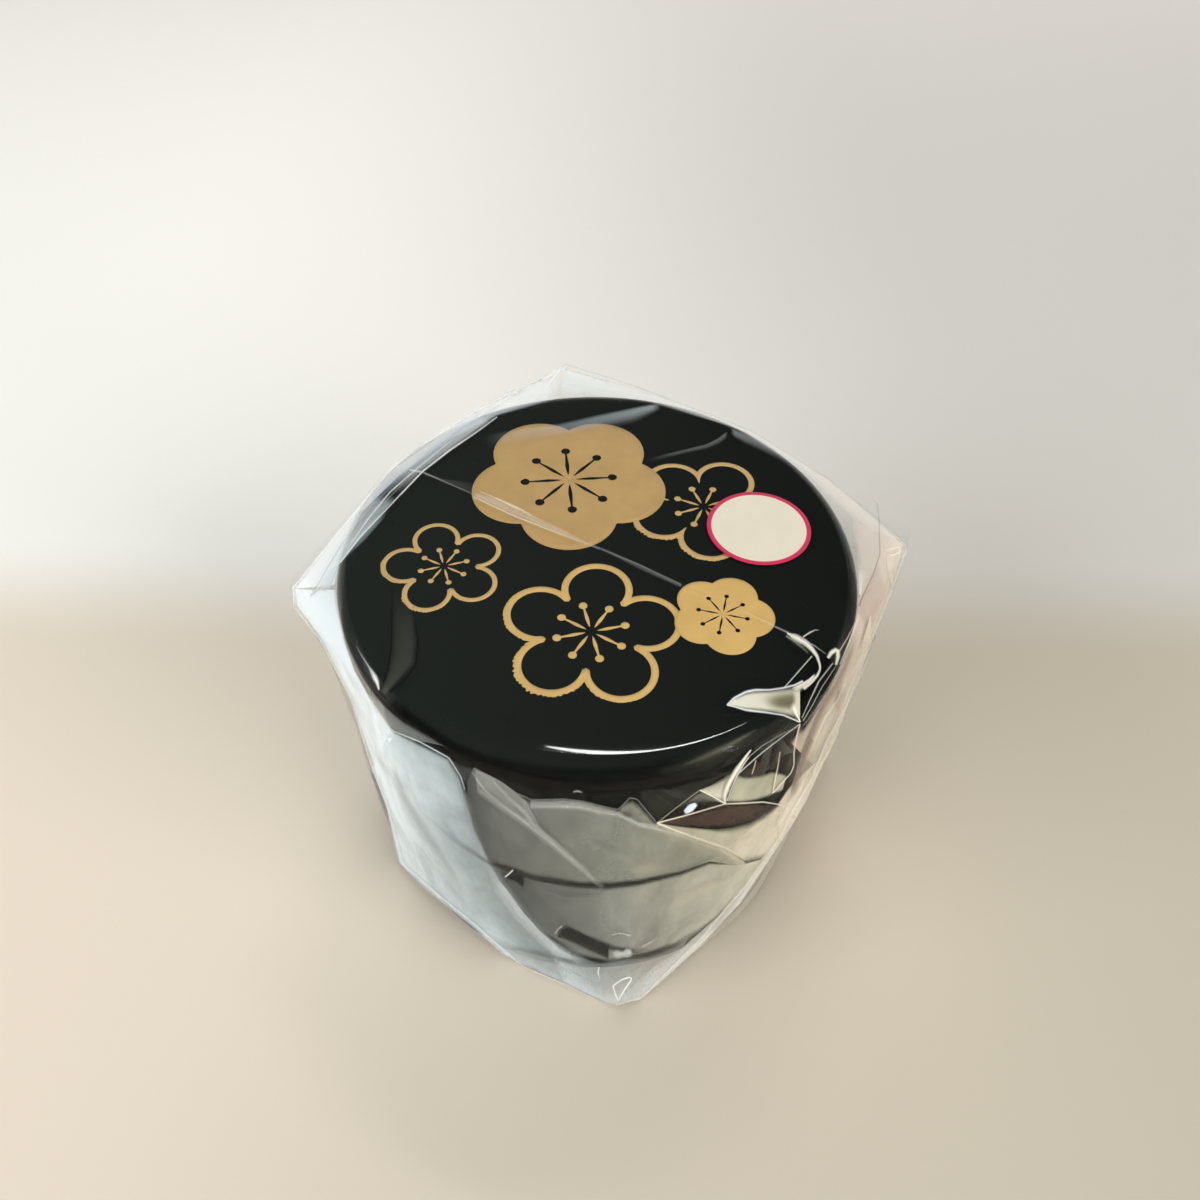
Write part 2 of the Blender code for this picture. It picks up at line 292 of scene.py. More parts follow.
# black gloss plastic
blackGloss = {
    "colour": (0.0048, 0.0056, 0.0050),
    "dustColour": (0.020, 0.022, 0.020),
    "roughness": 0.035,
    "smudge": 0.05,  # added to the roughness where there are smudges
    "dust": 0.8,
    "ripple": 0.00016,
    "fineRipple": 0.06,  # share of the ripples
    "scales": {"smudge": 26, "dust": 1900, "dustPatch": 60, "ripple": 34, "fineRipple": 210, "red": 90},
    "specular": 0.07,
    "coat": 0.5,
}
insideRed = {"colour": (0.300, 0.022, 0.012), "deep": 0.86, "roughness": 0.22, "blend": 0.0003}


# Injection moulded gloss: faint ripples in the surface, soft smudges in the roughness and a little dust.
# cavity gives the levels and the radius inside which the plastic is vermilion, and polished, where it is
# given, the two levels between which a mirror coat starts
def blackPlastic(name, cavity, polished=None):
    paint = Paint(bpy.data.materials.new(name))
    place = paint.place()
    scales = blackGloss["scales"]
    smudges = paint.noise(place, scales["smudge"], 3, 0.55).rising(0.45, 0.75)
    dust = paint.noise(place, scales["dust"], 1, 0.4).rising(0.70, 0.78)
    dust = dust * paint.noise(place, scales["dustPatch"], 2, 0.5).rising(0.45, 0.7)
    colour = paint.mix(dust * blackGloss["dust"], blackGloss["colour"], blackGloss["dustColour"])
    roughness = blackGloss["roughness"] + smudges * blackGloss["smudge"]
    split = paint.parts(place)
    x, y, z = split[0], split[1], split[2]
    radius = (x * x + y * y) ** 0.5
    low, high, reach = cavity
    blend = insideRed["blend"]
    inside = (1 - radius.rising(reach, reach + blend)) * z.rising(low, low + blend)
    inside = inside * (1 - z.rising(high, high + blend))
    grain = paint.noise(place, scales["red"], 3, 0.6)
    red = paint.mix(grain, insideRed["colour"], tuple(insideRed["deep"] * c for c in insideRed["colour"]))
    colour = paint.mix(inside, colour, red)
    roughness = roughness * (1 - inside) + inside * insideRed["roughness"]
    ripples = paint.noise(place, scales["ripple"], 1, 0.4)
    ripples = ripples + paint.noise(place, scales["fineRipple"], 2, 0.5) * blackGloss["fineRipple"]
    normal = paint.bump(ripples, 0.5, blackGloss["ripple"])
    sockets = {"Base Color": colour, "Roughness": roughness, "Normal": normal}
    if polished:
        sockets["Coat Weight"] = z.rising(*polished) * blackGloss["coat"]
    return paint.finish(paint.principled(sockets, blackGloss["specular"]))


# What every piece says to the frame: the body it rides on, and the node it stands for, which is hidden
def settle(piece, body, node):
    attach(piece, body)
    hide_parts(node)


# tiers
tier = {
    "height": 0.0620,
    "lipHeight": 0.0040,
    "radius": 0.0730,
    "lipRadius": 0.0715,
    "cavityRadius": 0.0704,
    "draft": 0.0004,
    "footBore": 0.0719,
    "floorUnderside": 0.0046,
    "floorTop": 0.0066,
    "fillet": 0.0050,
    "edge": 0.0005,
    "gateMark": (0.0060, 0.0005),  # radius and depth of the moulding mark underneath
    "red": (0.001, 0.0012, 0.0002),  # reach under the floor, gap below the rim, reach into the wall
    "steps": 224,
}


# Corners of the section (r, z, rounding), from the middle of the floor over the lip and round to the
# underside
def tierProfile(base):
    edge, lipTop = tier["edge"], tier["height"] + tier["lipHeight"]
    markRadius, markDepth = tier["gateMark"]
    floorRadius = tier["cavityRadius"] - tier["draft"]
    corners = [
        (0, tier["floorTop"], 0),
        (floorRadius, tier["floorTop"], tier["fillet"]),
        (tier["cavityRadius"], lipTop, edge * 0.6),
        (tier["lipRadius"], lipTop, edge * 0.6),
        (tier["lipRadius"], tier["height"], edge * 0.3),
        (tier["radius"], tier["height"], edge),
        (tier["radius"], 0, edge),
        (tier["footBore"], 0, edge * 0.4),
        (tier["footBore"], tier["floorUnderside"], edge * 0.8),
        (markRadius, tier["floorUnderside"], markDepth * 0.4),
        (markRadius - markDepth, tier["floorUnderside"] + markDepth, markDepth * 0.4),
        (0, tier["floorUnderside"] + markDepth, 0),
    ]
    return [(r, z + base) for r, z in roundedProfile(corners)]


# The profile runs up the inside first, so its faces are turned to point outwards
def makeTier(name, node):
    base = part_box(node)[0].z
    under, rim, over = tier["red"]
    top = base + tier["height"] + tier["lipHeight"]
    red = (base + tier["floorTop"] - under, top - rim, tier["cavityRadius"] + over)
    piece = turnedPiece(name, tierProfile(base)[::-1], tier["steps"], blackPlastic(name + "Plastic", red))
    settle(piece, node, node)


makeTier("lowerTier", "lower_tier")
makeTier("upperTier", "upper_tier")
print("tiers made")


# lid
lid = {
    "radius": 0.0760,
    "height": 0.0084,
    "plate": 0.0020,
    "bore": 0.0736,
    "shoulder": 0.0051,
    "flatRadius": 0.0625,
    "droop": 0.00014,
    "droopAngle": 3.0,
    "ribOuter": 0.0698,
    "ribInner": 0.0686,
    "ribDepth": 0.0030,
    "edge": 0.0005,
    "rings": (9, 14, 15),  # across the flat, the droop and the shoulder
    "red": (0.0008, 0.0012),  # how far the red stays under the top and inside the bore
    "polish": (0.0045, 0.0020),  # depths between which the mirror coat starts
    "steps": 320,
}


# The top is flat, droops by a cube law towards its edge and runs into a quarter circle. Zero is the top
def lidProfile():
    start = math.radians(lid["droopAngle"])
    droopEnd = lid["radius"] - lid["shoulder"] * (1 - math.sin(start))
    flatRings, droopRings, shoulderRings = lid["rings"]
    across = np.linspace(0, 1, droopRings)
    flat = [(r, 0) for r in np.linspace(0, lid["flatRadius"], flatRings)]
    droop = [(lid["flatRadius"] + t * (droopEnd - lid["flatRadius"]), -lid["droop"] * t**3) for t in across[1:]]
    angles = np.linspace(start, math.pi / 2, shoulderRings)[1:]
    level = -lid["droop"] - lid["shoulder"] * math.cos(start)
    middle = lid["radius"] - lid["shoulder"]
    shoulder = [(middle + lid["shoulder"] * math.sin(a), level + lid["shoulder"] * math.cos(a)) for a in angles]
    innerRound = lid["shoulder"] - (lid["radius"] - lid["bore"])
    underside = roundedProfile([
        (lid["radius"], level, 0),
        (lid["radius"], -lid["height"], lid["edge"]),
        (lid["bore"], -lid["height"], lid["edge"] * 0.6),
        (lid["bore"], -lid["plate"], innerRound),
        (lid["ribOuter"], -lid["plate"], 0),
        (lid["ribOuter"], -lid["plate"] - lid["ribDepth"], lid["edge"] * 0.5),
        (lid["ribInner"], -lid["plate"] - lid["ribDepth"], lid["edge"] * 0.5),
        (lid["ribInner"], -lid["plate"], lid["edge"] * 0.5),
        (0, -lid["plate"], 0),
    ])
    return [(r, z + lidTop) for r, z in flat + droop + shoulder + underside[1:]]


def makeLid():
    under, within = lid["red"]
    red = (lidTop - lid["height"], lidTop - under, lid["bore"] - within)
    plastic = blackPlastic("lidPlastic", red, [lidTop - depth for depth in lid["polish"]])
    settle(turnedPiece("lidShell", lidProfile(), lid["steps"], plastic), "lid", "lid")


makeLid()
print("lid made")


# gold blossoms printed on the lid
# A share is of a blossom's reach, but for bellyPlace and neckPlace, which are shares of a stamen's length
ink = {
    "thickness": 0.00005,
    "standOff": 0.00012,
    "lineShare": 0.078,
    "startShare": 0.065,
    "headShare": 0.047,
    "bellyShare": 0.021,
    "neckShare": 0.011,
    "bellyPlace": 0.40,
    "neckPlace": 0.80,
    "petals": 5,
    "stamens": 8,
    "columns": 42,  # across each of the eight sectors
    "outerRows": 9,
    "outlineSteps": 720,
    "lineRows": 4,
    "stamenColumns": 5,
    "headSteps": 13,
    "wornTurn": 225,
    "wornShare": 0.014,
    "underCover": 0.0008,  # how far a line runs on under the blossom that covers it
    "thinnest": 2e-5,  # half width of a stamen's ends
    "hubRadius": 1e-5,
    "weld": 1.2e-5,
    "roughness": 0.42,
    "metallic": 0.15,
    "deep": 0.86,
    "flecks": 0.35,
    "scales": {"grain": 2600, "mottle": 150, "flecks": 5200},
}
# Centre and reach in metres, turns in degrees, all as in the imported model
# Each blossom's colour is the gold ink plus painted light: darker for the large one at the back and lighter for
# those at the front, as the light falls on them
blossoms = {
    "large": {"place": (-0.009576, 0.029716), "reach": 0.0307, "notch": 0.79, "filled": True,
              "petalTurn": -88, "stamenTurn": 96.3, "stamenShare": 0.445, "colour": (197, 160, 102)},
    "right": {"place": (0.031923, 0.018673), "reach": 0.0228, "notch": 0.70, "filled": False,
              "petalTurn": 58, "stamenTurn": 112, "stamenShare": 0.370,
              "colour": (208, 172, 112), "cover": "large"},
    "middle": {"place": (-0.001444, -0.031692), "reach": 0.0255, "notch": 0.66, "filled": False,
               "petalTurn": 85, "stamenTurn": 104.6, "stamenShare": 0.374,
               "colour": (220, 182, 112), "cover": "small"},
    "small": {"place": (0.034806, -0.024575), "reach": 0.0144, "notch": 0.81, "filled": True,
              "petalTurn": -79, "stamenTurn": 77.3, "stamenShare": 0.473, "colour": (222, 181, 106)},
    "left": {"place": (-0.044156, -0.008360), "reach": 0.0180, "notch": 0.64, "filled": False,
             "petalTurn": 108, "stamenTurn": 108.1, "stamenShare": 0.369, "colour": (212, 176, 114)},
}


# Gold ink: a fine metallic grain, a slow mottle and a slightly uneven edge height
def goldInk(name, colour):
    paint = Paint(bpy.data.materials.new(name))
    place = paint.place()
    light = screen(*colour)
    deep = tuple(c * ink["deep"] for c in light)
    grain = paint.noise(place, ink["scales"]["grain"], 2, 0.6)
    mottle = paint.noise(place, ink["scales"]["mottle"], 3, 0.6)
    tone = paint.mix((mottle * 0.55 + grain * 0.45).rising(0.30, 0.68), deep, light)
    flecks = paint.noise(place, ink["scales"]["flecks"], 0, 0.5).rising(0.66, 0.80)
    tone = paint.mix(flecks * ink["flecks"], tone, tuple(min(1.0, c * 1.35) for c in light))
    sockets = {
        "Base Color": tone,
        "Metallic": ink["metallic"] + grain * 0.1,
        "Roughness": ink["roughness"] + (mottle - 0.5) * 0.2,
        "Normal": paint.bump(grain + mottle * 0.4, 0.25, 0.00006),
    }
    return paint.finish(paint.principled(sockets))


# The outline of a blossom, moved inwards by inset. Each petal is a circle through its tip and the two notches
# beside it, so at the angle d from the tip the outline is at c cos d + sqrt(p^2 - c^2 sin^2 d)
def outlineReach(flower, angles, inset=0.0):
    tip, half = flower["reach"], math.pi / ink["petals"]
    notch = tip * flower["notch"]
    centre = (tip**2 - notch**2) / (2 * (tip - notch * math.cos(half)))
    petal = tip - centre - inset
    away = (angles - math.radians(flower["petalTurn"]) + half) % (2 * half) - half
    return centre * np.cos(away) + np.sqrt(np.maximum(petal**2 - (centre * np.sin(away)) ** 2, 0))


# Places along a stamen from its start to past its head, and its half width at each: a spindle and a round
# head
def stamenShape(flower):
    reach = flower["reach"]
    start, end, head = reach * ink["startShare"], reach * flower["stamenShare"], reach * ink["headShare"]
    shares = np.array([0, 0.1, 0.25, ink["bellyPlace"], 0.6, ink["neckPlace"]])
    swell = np.array([0, 0.45, 0.8, 1.0, ink["neckShare"] / ink["bellyShare"]]) * reach * ink["bellyShare"]
    widths = np.interp(shares, np.delete(shares, 4), swell)
    bend = np.linspace(math.asin(ink["neckShare"] / ink["headShare"]), math.pi, ink["headSteps"])
    along = np.concatenate([start + (end - start) * shares, end - head * np.cos(bend)])
    return along, np.concatenate([widths, head * np.sin(bend)])


# Joins flat grids into one set of points (x, y) and one of faces. Where closed is true, the first is a closed
# band
def joinFlat(grids, closed=False):
    starts = np.cumsum([0] + [grid.shape[0] * grid.shape[1] for grid in grids[:-1]])
    faces = [gridFaces(*grid.shape[:2], closed and start == 0) + start for grid, start in zip(grids, starts)]
    return np.concatenate([grid.reshape(-1, 2) for grid in grids]), np.concatenate(faces)


# Points (x, y) at these radii and angles
def turnedOut(radii, angles):
    return np.stack([radii * np.cos(angles), radii * np.sin(angles)], -1)


# A filled blossom leaves its stamens bare. Each sector between two stamens is a grid: rows run out from the
# centre, and columns run from the edge of one stamen to the edge of the next
def filledFlower(flower):
    along, widths = stamenShape(flower)
    step = 2 * math.pi / ink["stamens"]
    across = np.linspace(0, 1, ink["columns"])
    out = np.linspace(0, 1, ink["outerRows"])[1:]
    grids = []
    for number in range(ink["stamens"]):
        first = math.radians(flower["stamenTurn"]) + step * number
        bare = np.arcsin(np.clip(widths / along, 0, 1))[:, None]
        angles = first + bare + (step - 2 * bare) * across
        inner = turnedOut(along[:, None], angles)
        angles = (first + step * across)[None, :]
        radii = along[-1] + (outlineReach(flower, angles) - along[-1]) * out[:, None]
        grids.append(np.concatenate([turnedOut(ink["hubRadius"], angles), inner, turnedOut(radii, angles)]))
    return joinFlat(grids)


# A line blossom is a closed band along the outline, with eight stamens, narrow grids of their own. The band's
# outer edge is a little thick and ragged towards wornTurn, by products of sines
def lineFlower(flower):
    angles = np.linspace(0, 2 * math.pi, ink["outlineSteps"], endpoint=False)
    worn = np.clip(np.cos(angles - math.radians(ink["wornTurn"])), 0, 1) ** 1.5
    jagged = np.sin(41 * angles) * np.sin(67 * angles + 1)
    jagged = jagged + 0.6 * np.sin(119 * angles + 2) * np.sin(29 * angles)
    outer = outlineReach(flower, angles) + ink["wornShare"] * flower["reach"] * worn * (jagged + 0.7)
    inner = outlineReach(flower, angles, flower["reach"] * ink["lineShare"])
    share = np.linspace(0, 1, ink["lineRows"])[:, None]
    grids = [turnedOut(inner + (outer - inner) * share, angles)]
    along, widths = stamenShape(flower)
    side = np.linspace(-1, 1, ink["stamenColumns"])
    forward = along[:, None] + 0 * side
    sideways = np.maximum(widths, ink["thinnest"])[:, None] * side
    for number in range(ink["stamens"]):
        turn = math.radians(flower["stamenTurn"]) + 2 * math.pi * number / ink["stamens"]
        grids.append(np.stack([forward * math.cos(turn) - sideways * math.sin(turn),
                               forward * math.sin(turn) + sideways * math.cos(turn)], -1))
    return joinFlat(grids, closed=True)


def makeBlossom(name):
    flower = blossoms[name]
    points, faces = (filledFlower if flower["filled"] else lineFlower)(flower)
    points = points + np.array(flower["place"])
    if "cover" in flower:  # what the filled blossom hides is left out, but for a little under its edge
        over = blossoms[flower["cover"]]
        middle = points[faces].mean(1) - np.array(over["place"])
        edge = outlineReach(over, np.arctan2(middle[:, 1], middle[:, 0]))
        hidden = np.hypot(*middle.T) < edge - ink["underCover"]
        faces = faces[~hidden]
    level = lidTop + ink["standOff"] + (ink["thickness"] if flower["filled"] else 0)
    placed = np.column_stack([points, np.full(len(points), level)])
    # the colour carries the blossom's painted light as well as its gold
    material = goldInk("goldInk" + name.capitalize(), flower["colour"])
    piece = makePiece("blossom" + name.capitalize(), placed, faces.tolist(), material)
    fixUpwards(piece)
    wall = piece.modifiers.new("inkThickness", "SOLIDIFY")
    wall.thickness, wall.offset = ink["thickness"], -1
    settle(piece, "lid", "blossom_" + name)


# Turns every face of a flat piece to look up, and merges points that meet
def fixUpwards(piece):
    work = bmesh.new()
    work.from_mesh(piece.data)
    bmesh.ops.remove_doubles(work, verts=work.verts, dist=ink["weld"])
    for face in work.faces:
        face.normal_update()
        if face.normal.z < 0:
            face.normal_flip()
    loose = [v for v in work.verts if not v.link_faces]
    bmesh.ops.delete(work, geom=loose, context="VERTS")
    work.to_mesh(piece.data)
    work.free()


for flowerName in blossoms:
    makeBlossom(flowerName)
print("blossoms made")


# film bag
film = {
    "radius": 0.0770,
    "taper": 0.0022,  # how much tighter the film lies at its foot, between the ears
    "top": lidTop + 0.0005,
    "hem": 0.0006,
    "shoulder": 0.0059,
    "earReach": 0.0176,
    "earTurns": (8, 98, 188, 278),
    "earLeans": (0, 0, 19, 0),
    "depthShares": (0.0, 0.045, 0.25, 0.47, 0.65, 0.85, 1.0),
    "reachShares": (
        (1.08, 1.08, 1.08, 1.07, 1.05, 1.03, 0.95),
        (0.88, 0.86, 0.80, 0.70, 0.55, 0.42, 0.30),
        (0.72, 0.70, 0.33, 0.16, 0.12, 0.08, 0.10),
        (0.00, 0.02, 0.10, 0.25, 0.42, 0.53, 0.60),
    ),
    "columns": 440,
    "topRows": 34,
    "shoulderRows": 12,
    "wallRows": 120,
    "flat": (0.509, 0.215),  # the tube's girth, and its height with half of its top
    "haze": (0.017, 0.004, 0.004),  # how milky one layer is, on top at the left and right and on the walls
    "hazeTone": (200, 218, 204),
    "pleats": 0.42,  # how milky the pleated film is where the photograph doesn't show it
    "layerBase": 0.0003,  # how far the folds stand off the film, beside their own lifts
    # waves of the walls: their number, their drift on the way down, their phase and their share of waveHeight
    "waves": (
        (7, 1.5, 0.4, 0.30), (11, -2.2, 1.9, 0.26), (17, 3.4, 2.2, 0.20),
        (29, -4.1, 0.2, 0.12), (47, 6.0, 4.1, 0.06),
    ),
    "waveHeight": 0.00060,
    "topWave": 0.00004,
    "look": (0.12, 0.52, 900, 18),  # the nearest and furthest that rays look for the film, steps, halvings
    "roughness": 0.5,
    "specular": 0.04,
    "glossRoughness": 0.07,
    "shine": (0.003, 0.36, 8),  # gloss seen square on, what a glancing angle adds, and how late it comes
    "bump": (0.6, 0.0009),
    "flatDepths": (0.011, 0.004),  # the bumps die away between these depths, towards the lid
    # haze at the foot: shares of the way down where it starts and grows, the turns it spans and its softness
    "footHaze": (0.70, 0.10, -70, 4, 12),
}
filmHeight = film["top"] - film["hem"]


# How far the film lies from the axis at an azimuth and a depth below its top. It is a circle round the box,
# the body, with taut film running off it to each ear: at the angle d from an ear it lies at body / cos(b -
# d), where cos b is body / tip. An ear with a lean turns round the box on its way down
def filmReach(azimuths, depths):
    bend = np.arccos(np.clip(1 - depths / film["shoulder"], 0, 1))
    loose = film["radius"] - film["shoulder"] * (1 - np.sin(bend))
    body = loose - film["taper"] * np.clip(depths / filmHeight, 0, 1) ** 1.5
    reach = body + 0 * azimuths
    for turn, lean, shares in zip(film["earTurns"], film["earLeans"], film["reachShares"]):
        tip = loose + film["earReach"] * np.interp(depths / filmHeight, film["depthShares"], shares)
        beta = np.arccos(body / tip)
        ear = np.radians(turn + lean * depths / filmHeight)
        away = np.abs((azimuths - ear + math.pi) % (2 * math.pi) - math.pi)
        reach = np.maximum(reach, np.where(away < beta, body / np.cos(beta - away), body))
    return reach


# Small waves of the film, square on it: sums of |sin| that run down the walls, drift sideways and are lower
# near the hem, and one much lower sin^2 across the top
def filmRelief(azimuths, depths, radii):
    down = np.clip(depths / filmHeight, 0, 1)
    waves = 0 * azimuths
    for count, drift, phase, size in film["waves"]:
        waves = waves + size * np.abs(np.sin(count * azimuths / 2 + drift * down + phase))
    wall = np.clip((depths - 0.3 * film["shoulder"]) / 0.02, 0, 1)
    top = film["topWave"] * np.sin(90 * radii * np.cos(azimuths - 0.6) + 1.1) ** 2 * np.clip(radii / 0.06, 0, 1)
    hem = 1 - 0.75 * np.clip((down - 0.9) / 0.1, 0, 1)
    return wall * film["waveHeight"] * waves * hem + np.where(depths <= 0, top, 0)


# Points of the film, from azimuth, depth and, on the flat top, the share of the way out from the centre. The
# waves and the lift stand square on the film: up on its top, outwards on its walls and between the two round
# its shoulder
def filmPoints(azimuths, depths, outShares, lift=0.0):
    reach = filmReach(azimuths, depths) * outShares
    raised = filmRelief(azimuths, depths, reach) + lift
    upwards = np.clip(1 - depths / film["shoulder"], 0, 1)
    radii = reach + raised * np.sqrt(1 - upwards**2)
    levels = film["top"] - depths + raised * upwards
    return np.stack([radii * np.cos(azimuths), radii * np.sin(azimuths), levels], -1)


# How far the film turns away from the camera: 1 where the photograph can't show it and 0 where it can, smooth
# between. The film's normal is the slope of radius - reach(azimuth, depth), taken by small differences
def unseenShare(azimuths, depths):
    turn, drop = 0.02, 0.0005
    reach = filmReach(azimuths, depths)
    around = (filmReach(azimuths + turn, depths) - filmReach(azimuths - turn, depths)) / (2 * turn) / reach
    downwards = (filmReach(azimuths, depths + drop) - filmReach(azimuths, depths - drop)) / (2 * drop)
    cosine, sine = np.cos(azimuths), np.sin(azimuths)
    normals = np.stack([cosine + around * sine, sine - around * cosine, downwards], -1)
    sight = cameraPlace - np.stack([reach * cosine, reach * sine, film["top"] - depths], -1)
    facing = (normals * sight).sum(-1) / np.linalg.norm(normals, axis=-1) / np.linalg.norm(sight, axis=-1)
    return np.clip(0.5 - facing / 0.24, 0, 1)


# Where a ray through each pixel of the photograph meets the film: it is followed from the camera in even
# steps to the first point inside the bag, or to the nearest approach, and the step is then halved until it is
# exact. The point is put back on the waves of the film, lifted off it by lift. Round the shoulder, an arc of
# radius s, the lifted film at the depth d stands over the film's own depth s - s (s - d) / (s + lift)
def castOnFilm(pixels, lift=0.0):
    rays = photoRays(pixels)
    nearest, furthest, count, halvings = film["look"]
    steps = np.linspace(nearest, furthest, count)
    shoulder = film["shoulder"]

    def ownDepth(depths):
        upwards = np.clip((shoulder - depths) / (shoulder + lift), 0, 1)
        own = np.where(depths < shoulder, shoulder - shoulder * upwards, np.minimum(depths, filmHeight))
        return own, np.sqrt(1 - upwards**2)

    def outside(distances):
        points = cameraPlace + rays[..., None, :] * distances[..., None]
        depths = film["top"] - points[..., 2]
        radial, azimuths = np.hypot(points[..., 0], points[..., 1]), np.arctan2(points[..., 1], points[..., 0])
        own, outwards = ownDepth(depths)
        reach = filmReach(azimuths, own)
        return np.maximum(radial - reach - (filmRelief(azimuths, own, reach) + lift) * outwards, -depths - lift)

    gap = outside(np.broadcast_to(steps, rays.shape[:-1] + steps.shape))
    hit = (gap < 0).any(-1)
    first = np.where(hit, (gap < 0).argmax(-1), gap.argmin(-1))
    high = steps[first]
    low = steps[np.maximum(first - 1, 0)]
    for _ in range(halvings):
        middle = (low + high) / 2
        inside = outside(middle[..., None])[..., 0] < 0
        low, high = np.where(inside, low, middle), np.where(inside, middle, high)
    points = cameraPlace + rays * np.where(hit, high, steps[first])[..., None]
    azimuths = np.arctan2(points[..., 1], points[..., 0])
    depths = film["top"] - points[..., 2]
    shares = np.hypot(points[..., 0], points[..., 1]) / filmReach(azimuths, 0 * azimuths)
    onTop = (shares < 1) & (depths < 1e-5 - lift)  # within a hair of the lifted top
    return filmPoints(azimuths, np.where(onTop, 0, ownDepth(depths)[0]), np.where(onTop, shares, 1.0), lift)


# Film: a veil over a clear layer, and a thin gloss that grows at a glancing angle. The attribute veil holds the
# veil's tone, and how much of it there is in its alpha; in folds and creases the veil also paints highlights,
# reflections and shade. The film lies flat on the lid, so its bumps die away there
def clearFilm():
    paint = Paint(bpy.data.materials.new("clearFilm"))
    place = paint.place()
    veil = paint.node("ShaderNodeAttribute", {"attribute_name": "veil"})
    level = paint.parts(place)[2]
    free = 1 - level.rising(*(film["top"] - depth for depth in film["flatDepths"])) * 0.96
    streaks = paint.noise(paint.mapped(place, (1, 1, 0.35)), 120, 4, 0.62, 0.6)
    fine = paint.noise(paint.mapped(place, (1, 1, 0.5), (0.3, 0.2, 0.5)), 420, 2, 0.5)
    broad = paint.noise(paint.mapped(place, (1, 1, 0.7), (0.6, 0.2, 0.8)), 46, 3, 0.5, 1.2)
    uneven = (streaks - 0.5) * 0.55 + (fine - 0.5) * 0.2 + (broad - 0.5) * 0.9
    amount = (veil["Alpha"] * (1 + uneven * free)).clamped()
    tone = paint.mix((streaks - 0.4).clamped() * 0.5, veil["Color"], (0.88, 0.90, 0.89), "MULTIPLY")
    soft = paint.noise(place, 70, 3, 0.5)
    crinkle = paint.noise(paint.mapped(place, (1, 1, 0.6), (0.5, 0.1, 0.3)), 260, 3, 0.55, 0.5)
    relief = (soft + crinkle * 0.35) * free
    normal = paint.bump(relief, *film["bump"])
    sockets = {"Base Color": tone, "Roughness": film["roughness"], "Normal": normal}
    body = paint.principled(sockets, film["specular"])
    clear = paint.node("ShaderNodeBsdfTransparent")[0]
    veiled = paint.node("ShaderNodeMixShader", (), {0: amount, 1: clear, 2: body})[0]
    smoother = paint.bump(relief * (1 - 0.8 * veil["Alpha"]), *film["bump"])
    sockets = {"Color": (1, 1, 1, 1), "Roughness": film["glossRoughness"], "Normal": smoother}
    gloss = paint.node("ShaderNodeBsdfGlossy", (), sockets)[0]
    glancing = paint.node("ShaderNodeLayerWeight", (), {"Normal": normal})["Facing"]
    least, more, power = film["shine"]
    shine = least + more * glancing**power
    return paint.finish(paint.node("ShaderNodeMixShader", (), {0: shine, 1: veiled, 2: gloss})[0])


filmMaterial = clearFilm()


def setVeil(piece, tones, amounts):
    values = np.concatenate([tones, amounts[:, None]], 1).astype(np.float32)
    attribute = piece.data.attributes.new("veil", "FLOAT_COLOR", "POINT")
    attribute.data.foreach_set("color", values.ravel())


# Tones that folds and creases share. The pale ones, cream and white also serve as painted highlights, and the
# deep ones, brown, dark and shadow as painted shade and dark reflections
cool, coolPale, coolDeep = (206, 221, 226), (240, 248, 252), (150, 160, 160)
grey, greyPale, greyDeep = (176, 180, 178), (210, 212, 208), (120, 124, 122)
warm, warmPale, warmDeep = (216, 209, 187), (238, 230, 212), (150, 134, 120)
olive, brown, dark, cream = (184, 184, 162), (58, 46, 40), (14, 14, 13), (248, 245, 230)
pinkish, white, shadow = (214, 194, 180), (252, 253, 252), (44, 42, 40)


# Pleats: over each whole number the share s runs from 0 to 1, and s^2 rises slowly and falls off at its end
def pleat(values):
    share = values % 1
    return share**2 * np.clip((1 - share) * 14, 0, 1)


# The skin's veil: a thin haze, pleats where the film turns away from the camera, and their tone, cool at the
# left and warm at the right, which is a painted tint of the light from each side
def skinVeil(azimuths, depths, x):
    down = depths / filmHeight
    left, right, walls = film["haze"]
    top = left + (right - left) * np.clip((x + 0.06) / 0.13, 0, 1)
    back = unseenShare(azimuths, depths + 0 * azimuths) * np.clip((depths - 0.004) / 0.02, 0, 1)
    turns = (np.degrees(azimuths) + 180) % 360 - 180
    start, growth, first, last, soft = film["footHaze"]
    foot = np.clip((down - start) / growth, 0, 1)
    foot = foot * np.clip((turns - first) / soft, 0, 1) * np.clip((last - turns) / soft, 0, 1)
    back = np.maximum(back, foot)
    first, second = 0.55 * azimuths + 0.25 * down + 0.06 * np.sin(5 * down), 0.95 * azimuths - 0.35 * down + 0.3
    pleats = 0.5 + 0.7 * pleat(first) + 0.5 * pleat(second)
    haze = top + (walls - top) * np.clip(depths / 0.01, 0, 1) + film["pleats"] * back * pleats
    side, back = np.clip(0.5 - x / 0.15, 0, 1)[..., None], back[..., None]
    tones = np.array(screen(*warmPale)) * (1 - side) + np.array(screen(*coolPale)) * side
    tones = np.array(screen(*film["hazeTone"])) * (1 - back) + tones * back
    hubTone = [screen(*film["hazeTone"])]
    return np.concatenate([tones.reshape(-1, 3), hubTone]), np.append(haze.ravel(), (left + right) / 2)


